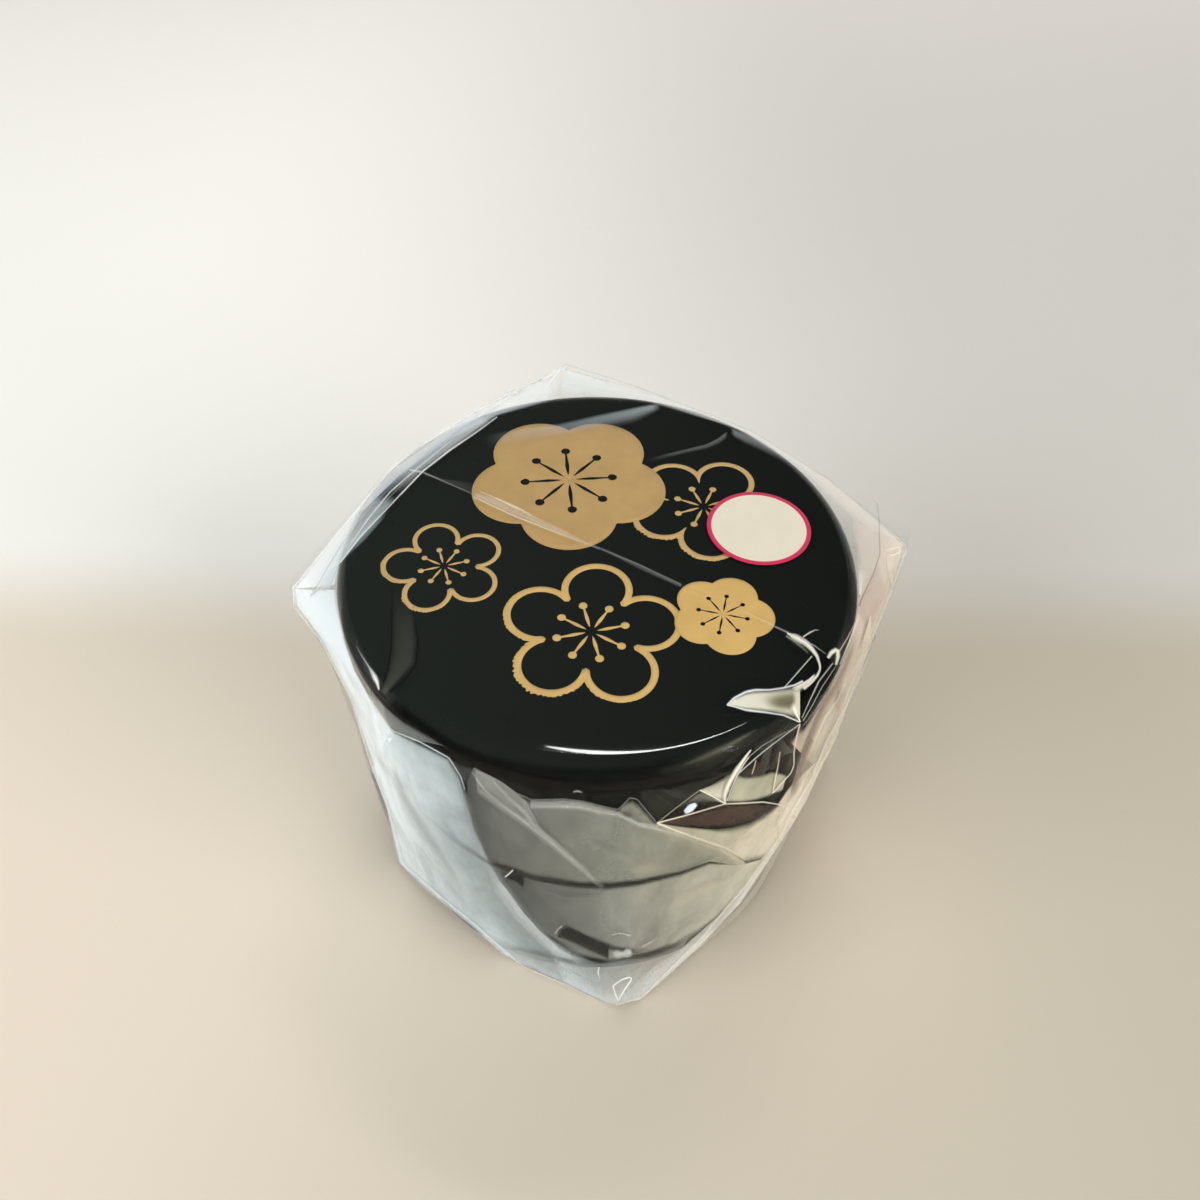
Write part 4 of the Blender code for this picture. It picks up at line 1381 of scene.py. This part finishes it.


# creases: narrow raised lines of film, their highlights painted in pale veils, and a few dark lines of painted
# shade
# A crease follows its pixels with a tent across it: five columns, raised towards the middle one, where its
# veil is full. Its half width in pixels and its veil run along their own lists, and sides is the veil's share
# halfway out
creaseForm = {"cell": 2.5, "widen": 1.35, "lift": 0.0011, "sides": 0.35, "slope": 0.00008, "ridge": 0.00015}


def creaseGrid(crease):
    line = np.array(crease["line"], float)
    length = np.linalg.norm(np.diff(line, axis=0), axis=1).sum()
    count = int(np.clip(length / creaseForm["cell"], 10, 150))
    line = resampled(line, count)
    ahead = np.gradient(line, axis=0)
    speed = np.maximum(np.linalg.norm(ahead, axis=1, keepdims=True), 1e-6)
    side = np.stack([-ahead[:, 1], ahead[:, 0]], -1) / speed
    s = np.linspace(0, 1, count)
    lists = crease["width"], crease["veil"]
    width, veil = (np.interp(s, np.linspace(0, 1, len(values)), values) for values in lists)
    width = creaseForm["widen"] * width[:, None]
    lift = film["layerBase"] + crease.get("lift", creaseForm["lift"])
    sides, slope, ridge = crease.get("sides", creaseForm["sides"]), creaseForm["slope"], creaseForm["ridge"]
    across = ((-1, 0, 0), (-0.5, slope, sides), (0, ridge, 1), (0.5, slope, sides), (1, 0, 0))
    points = np.stack([castOnFilm(line + side * width * out, lift + rise) for out, rise, _ in across])
    amounts = np.stack([veil * share for _, _, share in across])
    tones = np.tile(screen(*crease["tone"]), (len(across) * count, 1))
    return points.reshape(-1, 3), gridFaces(len(across), count), tones, amounts.ravel()


creases = {
    "seal": {"line": [(420, 471), (473, 494), (560, 532), (640, 565), (681, 585), (722, 601), (774, 626),
        (789, 633)], "width": (1, 0.9, 0.8, 1.1, 0.9, 0.8, 0.9, 1.2),
        "veil": (0.4, 0.18, 0.3, 0.12, 0.22, 0.05, 0.1, 0.45), "tone": greyPale},
    "sealTwo": {"line": [(474, 497), (512, 515), (560, 534), (600, 549)], "width": (0.8, 0.9, 0.7),
        "veil": (0.45, 0.5, 0.2), "tone": cream},
    "sealThree": {"line": [(480, 491), (500, 500), (522, 510), (534, 517)], "width": (0.7, 0.9, 1.4, 0.8),
        "veil": (0.2, 0.5, 0.6, 0.2), "tone": cream},
    "curlTop": {"line": [(787, 633), (791, 635), (797, 638), (806, 643), (812, 649), (817, 656), (820, 665),
        (820, 670), (817, 676), (811, 682), (803, 688)], "width": (0.6, 3, 3, 2.4, 1.8, 1.2, 1, 1.3, 2, 2.4),
        "veil": (0.8, 0.95, 0.9, 0.95, 0.85, 0.8, 0.9, 0.9), "tone": cream, "sides": 0.6},
    "curlStreak": {"line": [(786, 636), (793, 640), (802, 647), (808, 653)], "width": (1.2, 1.6, 0.8),
        "veil": (0.5, 0.4, 0.2), "tone": olive, "lift": 0.0009},
    # shoulderGlow and the broader glow after it are painted reflections along the lid's front right shoulder
    "shoulderGlow": {"line": [(684, 765), (704, 757), (726, 747), (742, 738), (757, 729)],
        "width": (1.5, 3.2, 3.4, 2.4, 1), "veil": (0.04, 0.13, 0.2, 0.24, 0.05), "tone": (176, 176, 150)},
    "shoulderGlowBroad": {"line": [(660, 772), (700, 760), (735, 745), (765, 728)], "width": (4, 9, 9, 3),
        "veil": (0.02, 0.05, 0.07, 0.02), "tone": (150, 150, 130)},
    "lidNick": {"line": [(505, 722), (510, 718), (515, 714)], "width": (0.8, 1.4, 0.7),
        "veil": (0.3, 0.6, 0.3), "tone": dark, "sides": 0.6},
    "leafTop": {"line": [(727, 705), (734, 698), (746, 692), (755, 690), (769, 690), (783, 688), (795, 685),
        (803, 681)], "width": (1, 1.5, 1.2, 1.1, 1.3), "veil": (0.85, 0.95, 0.7, 0.9), "tone": white,
        "lift": 0.0016},
    "leafTopGrey": {"line": [(736, 700), (746, 694), (764, 692), (783, 691), (796, 688)],
        "width": (0.6, 0.7, 0.6), "veil": (0.5, 0.6, 0.4), "tone": greyDeep, "lift": 0.0016},
    "leafEdge": {"line": [(727, 705), (736, 707), (746, 710), (764, 712), (783, 715), (800, 722)],
        "width": (0.9, 1.4, 1, 0.9), "veil": (0.8, 0.95, 0.7, 0.9), "tone": white, "lift": 0.0016},
    "leafLine": {"line": [(812, 656), (798, 672), (784, 688)], "width": (0.7, 0.7), "veil": (0.7, 0.75, 0.7),
        "tone": cream},
    "smallArc": {"line": [(803, 637), (809, 633), (815, 630), (819, 630)], "width": (0.8, 0.9, 0.5),
        "veil": (0.8, 0.8, 0.2), "tone": cream},
    "greyLine": {"line": [(800, 638), (815, 646), (826, 654)], "width": (0.7, 0.8, 0.6),
        "veil": (0.3, 0.5, 0.2), "tone": greyPale},
    "curlRight": {"line": [(828, 658), (831, 653), (835, 650), (838, 651), (838, 657), (836, 665)],
        "width": (1.6, 2.4, 2, 1.4), "veil": (0.9, 0.95, 0.9, 0.6), "tone": cream, "sides": 0.5},
    "riseRight": {"line": [(839, 652), (848, 637), (858, 617)], "width": (1, 0.7), "veil": (0.8, 0.5),
        "tone": pinkish},
    "darkLineA": {"line": [(833, 663), (819, 681), (810, 700), (802, 718)], "width": (0.8, 0.9, 0.6),
        "veil": (0.6, 0.75, 0.5), "tone": greyPale},
    "darkLineB": {"line": [(836, 666), (822, 687), (812, 706), (803, 721)], "width": (0.6, 0.7, 0.6),
        "veil": (0.4, 0.5, 0.6), "tone": greyPale},
    "darkLineC": {"line": [(842, 668), (828, 692), (814, 712), (803, 726)], "width": (0.6, 0.8, 0.6),
        "veil": (0.3, 0.4, 0.4), "tone": grey},
    "fromPointA": {"line": [(800, 724), (796, 740), (794, 752), (794, 765), (791, 773), (782, 783),
        (773, 793)], "width": (0.9, 0.8, 0.7), "veil": (0.85, 0.7, 0.8, 0.8), "tone": warmPale},
    "fromPointB": {"line": [(773, 793), (775, 780), (778, 766), (780, 752)], "width": (0.8, 0.9, 0.6),
        "veil": (0.8, 0.75, 0.5), "tone": warmPale},
    "fromPointC": {"line": [(739, 773), (748, 765), (757, 757), (768, 748), (785, 735), (800, 724)],
        "width": (0.9, 0.9, 0.8), "veil": (0.85, 0.7, 0.6, 0.6), "tone": greyPale},
    "fromPointD": {"line": [(752, 774), (754, 768), (756, 760)], "width": (0.7, 0.7), "veil": (0.7, 0.6),
        "tone": warmPale},
    "fromPointE": {"line": [(745, 760), (762, 746), (780, 735), (799, 726)], "width": (0.8, 0.7),
        "veil": (0.6, 0.35), "tone": grey},
    "brightRidge": {"line": [(725, 803), (725, 795), (729, 784), (735, 773), (741, 764), (747, 755),
        (751, 750)], "width": (1.2, 2.6, 2.4, 2.6, 1.6, 0.7), "veil": (0.95, 0.98, 0.98, 0.9), "tone": cream,
        "sides": 0.5, "lift": 0.0016},
    "brightRidgeTwo": {"line": [(727, 801), (733, 785), (738, 774), (744, 764), (749, 757)],
        "width": (0.8, 0.8), "veil": (0.8, 0.8, 0.6), "tone": cream, "lift": 0.0016},
    "triangleTop": {"line": [(700, 790), (712, 796), (726, 804)], "width": (0.8, 1.4), "veil": (0.9, 0.95),
        "tone": cream, "lift": 0.0016},
    "lensEdge": {"line": [(657, 823), (684, 816), (708, 809), (725, 804)], "width": (0.9, 1, 0.9),
        "veil": (0.9, 0.9, 0.85), "tone": warmPale, "lift": 0.0016},
    "lensTop": {"line": [(657, 823), (676, 808), (700, 790)], "width": (0.7, 0.7), "veil": (0.6, 0.6),
        "tone": olive, "lift": 0.0016},
    "facetTop": {"line": [(726, 804), (747, 803), (763, 802), (776, 804), (787, 806)], "width": (0.9, 1, 0.8),
        "veil": (0.85, 0.85, 0.6), "tone": warmPale, "lift": 0.0016},
    "rightEdge": {"line": [(657, 823), (672, 830), (690, 837), (709, 843), (726, 850), (740, 860),
        (746, 869)], "width": (1.4, 3.4, 3.8, 3.4, 2.2), "veil": (0.75, 0.6, 0.62, 0.6, 0.3), "tone": warm,
        "sides": 0.55},
    "rightEdgeLine": {"line": [(657, 823), (680, 832), (705, 841), (726, 848), (746, 860)],
        "width": (0.9, 1, 0.8), "veil": (0.85, 0.6, 0.5, 0.2), "tone": cream, "lift": 0.0014},
    "rightFork": {"line": [(718, 848), (730, 855), (737, 862), (739, 868)], "width": (1.2, 1.4, 0.8),
        "veil": (0.5, 0.5, 0.1), "tone": warmPale},
    "rightSoftDark": {"line": [(766, 812), (752, 826), (738, 838), (728, 846)], "width": (1.6, 2.2, 2),
        "veil": (0.4, 0.3, 0.2), "tone": greyDeep, "sides": 0.1},
    "finEdge": {"line": [(813, 740), (796, 783), (787, 804), (774, 828)], "width": (1.8, 2.2, 1.4),
        "veil": (0.6, 0.5, 0.2), "tone": warmDeep, "sides": 0.4},
    "finLight": {"line": [(826, 745), (806, 788), (785, 825)], "width": (0.9, 0.9), "veil": (0.5, 0.4),
        "tone": white},
    "panelEdge": {"line": [(391, 730), (420, 742), (449, 758), (461, 777), (465, 790)],
        "width": (0.9, 1, 0.9), "veil": (0.5, 0.6, 0.3), "tone": coolPale},
    "ridgeOne": {"line": [(477, 789), (501, 806), (524, 821), (547, 839), (567, 855), (582, 868), (603, 888)],
        "width": (2.6, 3.6, 4, 3.4, 2.4), "veil": (0.22, 0.34, 0.36, 0.34, 0.12), "tone": greyPale,
        "sides": 0.5},
    "ridgeOneLine": {"line": [(472, 772), (486, 792), (512, 812), (540, 834), (560, 850), (580, 870),
        (598, 884)], "width": (1, 1, 0.8), "veil": (0.3, 0.26, 0.34, 0.2, 0.05), "tone": greyPale,
        "lift": 0.0013},
    "ridgeTwo": {"line": [(492, 780), (509, 798), (526, 813), (532, 823), (547, 836), (560, 846)],
        "width": (1.6, 2.6, 2), "veil": (0.22, 0.3, 0.14), "tone": greyPale, "sides": 0.4},
    "ridgeThree": {"line": [(530, 807), (555, 807), (578, 807), (601, 813), (618, 815), (639, 825),
        (657, 829), (680, 835)], "width": (1.6, 2.6, 2, 2.6), "veil": (0.2, 0.34, 0.26, 0.36, 0.5),
        "tone": greyPale, "sides": 0.45},
    "middleRim": {"line": [(474, 768), (501, 782), (516, 793), (532, 800), (563, 799), (581, 801), (618, 810),
        (630, 798), (637, 799), (657, 823)], "width": (0.8, 0.8), "veil": (0.35, 0.3, 0.25, 0.3, 0.35),
        "tone": greyPale, "sides": 0.3},
    "rimGlints": {"line": [(573, 792), (578, 791), (583, 793)], "width": (1, 1.2, 0.8),
        "veil": (0.4, 0.55, 0.2), "tone": greyPale},
    "seamShade": {"line": [(389, 759), (420, 811), (458, 844), (489, 863), (532, 878), (578, 886), (608, 887),
        (640, 883), (680, 873), (724, 852)], "width": (1.2, 2, 2.4, 2.4, 1.6),
        "veil": (0, 0.1, 0.4, 0.44, 0.44, 0.15), "tone": (58, 60, 56), "sides": 0.6, "lift": 0.0009},
    "seamShadeTwo": {"line": [(538, 888), (560, 894), (590, 896), (612, 892)], "width": (2, 4, 2),
        "veil": (0.05, 0.22, 0.05), "tone": (80, 82, 78), "sides": 0.5, "lift": 0.0009},
    "panelRight": {"line": [(466, 792), (472, 822), (484, 854), (500, 884), (522, 916), (548, 944),
        (580, 964)], "width": (2, 4, 5.5, 5.5, 4), "veil": (0.08, 0.16, 0.22, 0.28, 0.2), "tone": coolPale,
        "sides": 0.5, "lift": 0.0008},
    "panelFold": {"line": [(500, 948), (520, 950), (545, 956), (575, 962)], "width": (1, 2.2, 1.4),
        "veil": (0.1, 0.45, 0.3), "tone": (96, 98, 94), "sides": 0.4},
    # a painted highlight along the lid's left edge, with a bright spot at its foot
    "leftHighlight": {"line": [(356, 646), (364, 659), (372, 672), (377, 682), (379, 690)],
        "width": (0.6, 0.9, 1.2, 2.6, 0.6), "veil": (0.1, 0.22, 0.35, 0.95, 0.8), "tone": white,
        "sides": 0.5},
    "leftFoldDarkA": {"line": [(392, 586), (392, 620), (391, 650), (388, 670), (380, 692)], "width": (0.9, 1),
        "veil": (0.3, 0.7, 0.7), "tone": (6, 6, 5)},
    "leftFoldDarkB": {"line": [(413, 606), (418, 640), (416, 664), (405, 680), (390, 692)],
        "width": (0.9, 1.4), "veil": (0.2, 0.7, 0.7), "tone": (6, 6, 5)},
    "leftRimLine": {"line": [(380, 693), (405, 718), (445, 746), (474, 766)], "width": (1.2, 1.4, 1),
        "veil": (0.7, 0.6, 0.3), "tone": (6, 6, 5)},
    "leftTopEdge": {"line": [(292, 589), (340, 530), (392, 468), (440, 433), (500, 395), (520, 380),
        (565, 362)], "width": (0.9, 1, 1, 0.9), "veil": (0.7, 0.8, 0.7, 0.6), "tone": white},
    "bandLineA": {"line": [(400, 495), (423, 471), (450, 450), (478, 431), (497, 417)],
        "width": (0.9, 1.1, 0.8), "veil": (0.8, 0.9, 0.6), "tone": white},
    "bandLineB": {"line": [(381, 506), (410, 476), (440, 454), (470, 434)], "width": (0.8, 0.8),
        "veil": (0.5, 0.55, 0.4), "tone": coolDeep},
    "bandLineC": {"line": [(340, 563), (360, 537), (381, 515), (400, 495)], "width": (0.9, 0.9),
        "veil": (0.7, 0.6), "tone": white},
    "bandLineD": {"line": [(310, 597), (342, 544), (372, 506), (405, 474)], "width": (0.8, 0.8),
        "veil": (0.5, 0.5, 0.4), "tone": coolDeep},
    "bandLineE": {"line": [(366, 512), (392, 484), (424, 456), (462, 428), (500, 405)],
        "width": (0.8, 1, 0.8), "veil": (0.4, 0.55, 0.35), "tone": (150, 172, 192)},
    "bandLineF": {"line": [(350, 545), (368, 519), (390, 492), (420, 466), (452, 440)],
        "width": (0.8, 1.1, 0.8), "veil": (0.5, 0.6, 0.3), "tone": white},
    "pinch": {"line": [(407, 469), (415, 471), (423, 472)], "width": (0.6, 1.4, 0.8), "veil": (0.5, 0.7, 0.5),
        "tone": coolPale},
    "backTipA": {"line": [(565, 363), (556, 374), (546, 388), (535, 399)], "width": (1, 1.2, 1),
        "veil": (0.7, 0.6, 0.3), "tone": white},
    "backTipB": {"line": [(565, 363), (545, 372), (520, 388), (500, 404)], "width": (0.8, 1, 1.2),
        "veil": (0.6, 0.5, 0.4), "tone": white},
    "backEdge": {"line": [(565, 362), (640, 388), (750, 430), (830, 480), (908, 545)], "width": (0.6, 0.6),
        "veil": (0.35, 0.3, 0.35), "tone": coolDeep},
    "rightTipLine": {"line": [(877, 500), (879, 521), (880, 554), (873, 575), (861, 600), (859, 606)],
        "width": (0.7, 0.9), "veil": (0.3, 0.6, 0.75), "tone": (124, 110, 100)},
    "finMid": {"line": [(870, 655), (852, 694), (840, 717), (826, 743), (811, 782)], "width": (0.8, 0.9, 0.7),
        "veil": (0.25, 0.55, 0.5), "tone": white},
    "finLoop": {"line": [(886, 556), (887, 570), (890, 583), (893, 590), (897, 580), (901, 567)],
        "width": (0.9, 0.9), "veil": (0.5, 0.45, 0.3), "tone": (176, 158, 144)},
    "finFold": {"line": [(859, 616), (850, 640), (840, 664)], "width": (0.9, 1, 0.7), "veil": (0.7, 0.7, 0.5),
        "tone": warmPale},
    "finInner": {"line": [(846, 680), (838, 700), (826, 716), (818, 734), (808, 760)], "width": (0.8, 0.8),
        "veil": (0.4, 0.5, 0.4), "tone": warmPale},
    "rightTipGlint": {"line": [(886, 550), (893, 548), (899, 547), (901, 552), (889, 556)], "width": (0.8, 1),
        "veil": (0.6, 0.8, 0.5), "tone": cream},
    "leftOutline": {"line": [(293, 590), (294, 607), (320, 640), (335, 668), (351, 700), (372, 768),
        (387, 806), (402, 864), (431, 889), (476, 926), (523, 967), (566, 985), (604, 1004)],
        "width": (0.7, 0.7), "veil": (0.6, 0.5), "tone": white},
    "rightOutline": {"line": [(616, 1005), (643, 997), (700, 940), (748, 883), (779, 840), (806, 790),
        (834, 742), (849, 700), (870, 645), (890, 596), (907, 548)], "width": (0.7, 0.7),
        "veil": (0.55, 0.5, 0.45), "tone": cream},
    "footGlintA": {"line": [(599, 967), (598, 973), (600, 979)], "width": (0.9, 1, 0.6),
        "veil": (0.8, 0.8, 0.3), "tone": white},
    "footGlintB": {"line": [(613, 986), (621, 980), (630, 977), (632, 979), (625, 989), (618, 1001),
        (615, 993), (613, 986)], "width": (1.1, 1.2), "veil": (0.85, 0.8), "tone": white},
    "footGlintD": {"line": [(612, 935), (621, 933), (631, 936)], "width": (0.9, 0.9), "veil": (0.5, 0.5),
        "tone": greyPale},
    "footGlintE": {"line": [(642, 947), (649, 943), (655, 940)], "width": (0.8, 0.8), "veil": (0.5, 0.5),
        "tone": greyPale},
    "patchEdge": {"line": [(555, 934), (558, 929), (562, 926)], "width": (0.9, 0.9), "veil": (0.6, 0.6),
        "tone": greyPale},
    "smallGlint": {"line": [(505, 877), (509, 874), (513, 870)], "width": (0.8, 0.8), "veil": (0.8, 0.8),
        "tone": white},
}


creaseGrids = [creaseGrid(crease) for crease in creases.values()]
filmCreases = joinGrids("filmCreases", creaseGrids + hiddenGrids("creases"))
print("film creases made")

settle(filmSkin, "bag", "film_bag")
for layer in (filmFolds, filmCreases):
    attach(layer, "bag")


# round sticker, bare
sticker = {
    "place": (0.0478, 0.00927),
    "radius": 0.0155,
    "ring": 0.00135,
    "thickness": 0.00012,
    "standOff": 0.00030,
    "paper": (228, 219, 198),
    "ink": (196, 36, 78),
    "ripple": 0.00008,
    "curl": (0.00015, 0.055, 0.01),  # lift of its outer side, distance from the axis where it starts, growth
    "rows": 26,
    "columns": 120,
}


# Coated paper: fine fibres, a slight yellowing and a printed ring that is a little uneven
def stickerPaper():
    paint = Paint(bpy.data.materials.new("stickerPaper"))
    place = paint.place()
    split = paint.parts(place)
    x, y = split[0] - sticker["place"][0], split[1] - sticker["place"][1]
    radius = (x * x + y * y) ** 0.5
    fibres = paint.noise(paint.mapped(place, (1, 0.4, 1), (0, 0, 0.7)), 2400, 3, 0.65)
    mottle = paint.noise(place, 180, 2, 0.5)
    white, red = (np.array(screen(*sticker[name])) for name in ("paper", "ink"))
    paper = paint.mix(mottle, tuple(white), tuple(0.93 * white))
    paper = paint.mix(fibres.rising(0.55, 0.8) * 0.25, paper, tuple(0.86 * white))
    inkTone = paint.mix(fibres * 0.5, tuple(red), tuple(1.25 * red))
    edge, inner, soft = radius + (fibres - 0.5) * 0.00012, sticker["radius"] - sticker["ring"], 0.00006
    ring = edge.rising(inner - soft, inner + soft)
    sockets = {
        "Base Color": paint.mix(ring, paper, inkTone),
        "Roughness": 0.46 + fibres * 0.12,
        "Normal": paint.bump(fibres + mottle * 0.3, 0.3, 0.00006),
    }
    return paint.finish(paint.principled(sockets))


# A disc of rings round the sticker's centre, which follows the film's waves and lifts a little towards one
# side
def makeSticker():
    turns = np.linspace(0, 2 * math.pi, sticker["columns"], endpoint=False)
    radii = np.linspace(0, sticker["radius"], sticker["rows"])[1:, None]
    x = sticker["place"][0] + radii * np.cos(turns)
    y = sticker["place"][1] + radii * np.sin(turns)
    lift, start, growth = sticker["curl"]
    curl = lift * np.clip((np.hypot(x, y) - start) / growth, 0, 1) ** 2
    wave = sticker["ripple"] * np.sin(160 * x + 40 * y) + curl
    level = film["top"] + sticker["standOff"] + wave
    points = np.stack([x, y, level], -1).reshape(-1, 3)
    hub = [(*sticker["place"], film["top"] + sticker["standOff"])]
    rows, columns = len(radii), sticker["columns"]
    faces = gridFaces(rows, columns, closed=True).tolist() + fan(rows * columns, 0, columns)
    piece = makePiece("roundSticker", np.concatenate([points, hub]), faces, stickerPaper())
    wall = piece.modifiers.new("paperThickness", "SOLIDIFY")
    wall.thickness, wall.offset = sticker["thickness"], 1
    settle(piece, "bag", "round_sticker")
    return piece


roundSticker = makeSticker()
print("sticker made")


# floor, world and lamps
# The floor's tones are painted light: lighter at the left and darker at the right, as the light falls across it
stageLook = {
    "floorRadius": 9.0,
    "nearLeft": (234, 221, 203),
    "nearRight": (195, 186, 169),
    "farLeft": (255, 252, 245),
    "farRight": (210, 207, 201),
    "farTop": (246, 241, 235),
    "horizonFront": (0.40, 0.36, 0.32),
    "horizonBack": (0.74, 0.74, 0.72),
    "across": (-0.30, 0.24),  # from the left's tone to the right's, in metres
    "split": (0.062, 0.130),  # metres behind the box where the beige gives way to pale grey
    "rise": (0.35, 1.5),  # and where that gives way to the tone at the top
    "fade": (0.95, 2.8),  # distances over which the floor passes into the horizon
    "roughness": 0.7,
    "specular": 0.2,
    "rimSteps": 96,
    "overhead": (0.045, 0.047, 0.047),
    "dome": (0.24, 0.58),  # heights over which the horizon passes into the dark overhead
}


# The tone of the horizon in a direction whose share towards the back is given
def horizonTone(paint, share):
    return paint.mix(share.rising(-0.6, 0.2), stageLook["horizonFront"], stageLook["horizonBack"])


def makeFloor():
    paint = Paint(bpy.data.materials.new("paleFloor"))
    place = paint.place()
    split = paint.parts(place)
    across = split[0].rising(*stageLook["across"])
    near = paint.mix(across, screen(*stageLook["nearLeft"]), screen(*stageLook["nearRight"]))
    far = paint.mix(across, screen(*stageLook["farLeft"]), screen(*stageLook["farRight"]))
    far = paint.mix(split[1].rising(*stageLook["rise"]), far, screen(*stageLook["farTop"]))
    colour = paint.mix(split[1].rising(*stageLook["split"]), near, far)
    grain = paint.noise(place, 3, 3, 0.5)
    colour = paint.mix(grain * 0.04, colour, (0.5, 0.46, 0.40))
    radius = (split[0] * split[0] + split[1] * split[1]) ** 0.5
    # Far off, the floor turns black and glows with the horizon's tone, a painted glow in place of a lit colour
    away = radius.rising(*stageLook["fade"])
    glow = paint.mix(away, (0, 0, 0), horizonTone(paint, split[1] / radius))
    sockets = {
        "Base Color": paint.mix(away, colour, (0, 0, 0)), "Roughness": stageLook["roughness"],
        "Emission Color": glow, "Emission Strength": 1.0,
    }
    shader = paint.principled(sockets, stageLook["specular"])
    turns = np.linspace(0, 2 * math.pi, stageLook["rimSteps"], endpoint=False)
    rim = np.column_stack([turnedOut(stageLook["floorRadius"], turns), 0 * turns])
    makePiece("paleFloor", rim, [list(range(len(turns)))], paint.finish(shader), smooth=False)


# The world is pale round the horizon, dimmer in front of the box, and dark overhead, so that the lid's top
# stays black
def makeWorld():
    world = bpy.data.worlds.new("studioRoom")
    bpy.context.scene.world = world
    paint = Paint(world)
    direction = paint.node("ShaderNodeTexCoord")["Generated"]
    split = paint.parts(direction)
    colour = paint.mix(split[2].rising(*stageLook["dome"]), horizonTone(paint, split[1]), stageLook["overhead"])
    paint.finish(paint.node("ShaderNodeBackground", (), {"Color": colour, "Strength": 1.0})[0])


# Each lamp is a softbox that looks at the box. light is how bright it makes white paper that faces it, where
# 1 is plain white, and one without gloss doesn't show in reflections
lamps = {
    "overhead": {
        "azimuth": 75.5, "elevation": 65.5, "away": 1.6, "size": (0.56, 0.046),
        "light": 0.10, "colour": (1, 1, 0.96), "gloss": True, "shape": "ELLIPSE",
    },
    "frontSpark": {
        "azimuth": -42, "elevation": 20, "away": 1.6, "size": (0.10, 0.16),
        "light": 0.02, "colour": (1, 0.97, 0.93), "gloss": True,
    },
    "leftFill": {
        "azimuth": 212, "elevation": 22, "away": 3.2, "size": (2.2, 2.2),
        "light": 0.72, "colour": (0.90, 0.97, 1.0), "gloss": False,
    },
    "rightFill": {
        "azimuth": -36, "elevation": 22, "away": 3.2, "size": (2.2, 2.2),
        "light": 0.80, "colour": (1.0, 0.97, 0.92), "gloss": False,
    },
    "backFill": {
        "azimuth": 84, "elevation": 30, "away": 3.2, "size": (2.2, 2.2),
        "light": 0.20, "colour": (1, 1, 1), "gloss": False,
    },
    "topFill": {
        "azimuth": 250, "elevation": 75, "away": 3.2, "size": (2.6, 2.6),
        "light": 0.32, "colour": (1, 1, 1), "gloss": False,
    },
}


def makeLamps():
    aim = Vector((0, 0, lidTop / 2))
    for name, lamp in lamps.items():
        data = bpy.data.lights.new(name, "AREA")
        data.shape = lamp.get("shape", "RECTANGLE")
        data.size, data.size_y = lamp["size"]
        data.energy = lamp["light"] * math.pi**2 * lamp["away"] ** 2
        data.color = lamp["colour"]
        azimuth, elevation = math.radians(lamp["azimuth"]), math.radians(lamp["elevation"])
        level = math.cos(elevation)
        out = Vector((math.cos(azimuth) * level, math.sin(azimuth) * level, math.sin(elevation)))
        softbox = bpy.data.objects.new(name, data)
        bpy.context.scene.collection.objects.link(softbox)
        softbox.location = aim + out * lamp["away"]
        softbox.rotation_euler = (-out).to_track_quat("-Z", "Y").to_euler()
        softbox.visible_glossy = lamp["gloss"]


makeFloor()
makeWorld()
makeLamps()
bpy.context.scene.view_settings.view_transform = "Standard"
print("stage made")
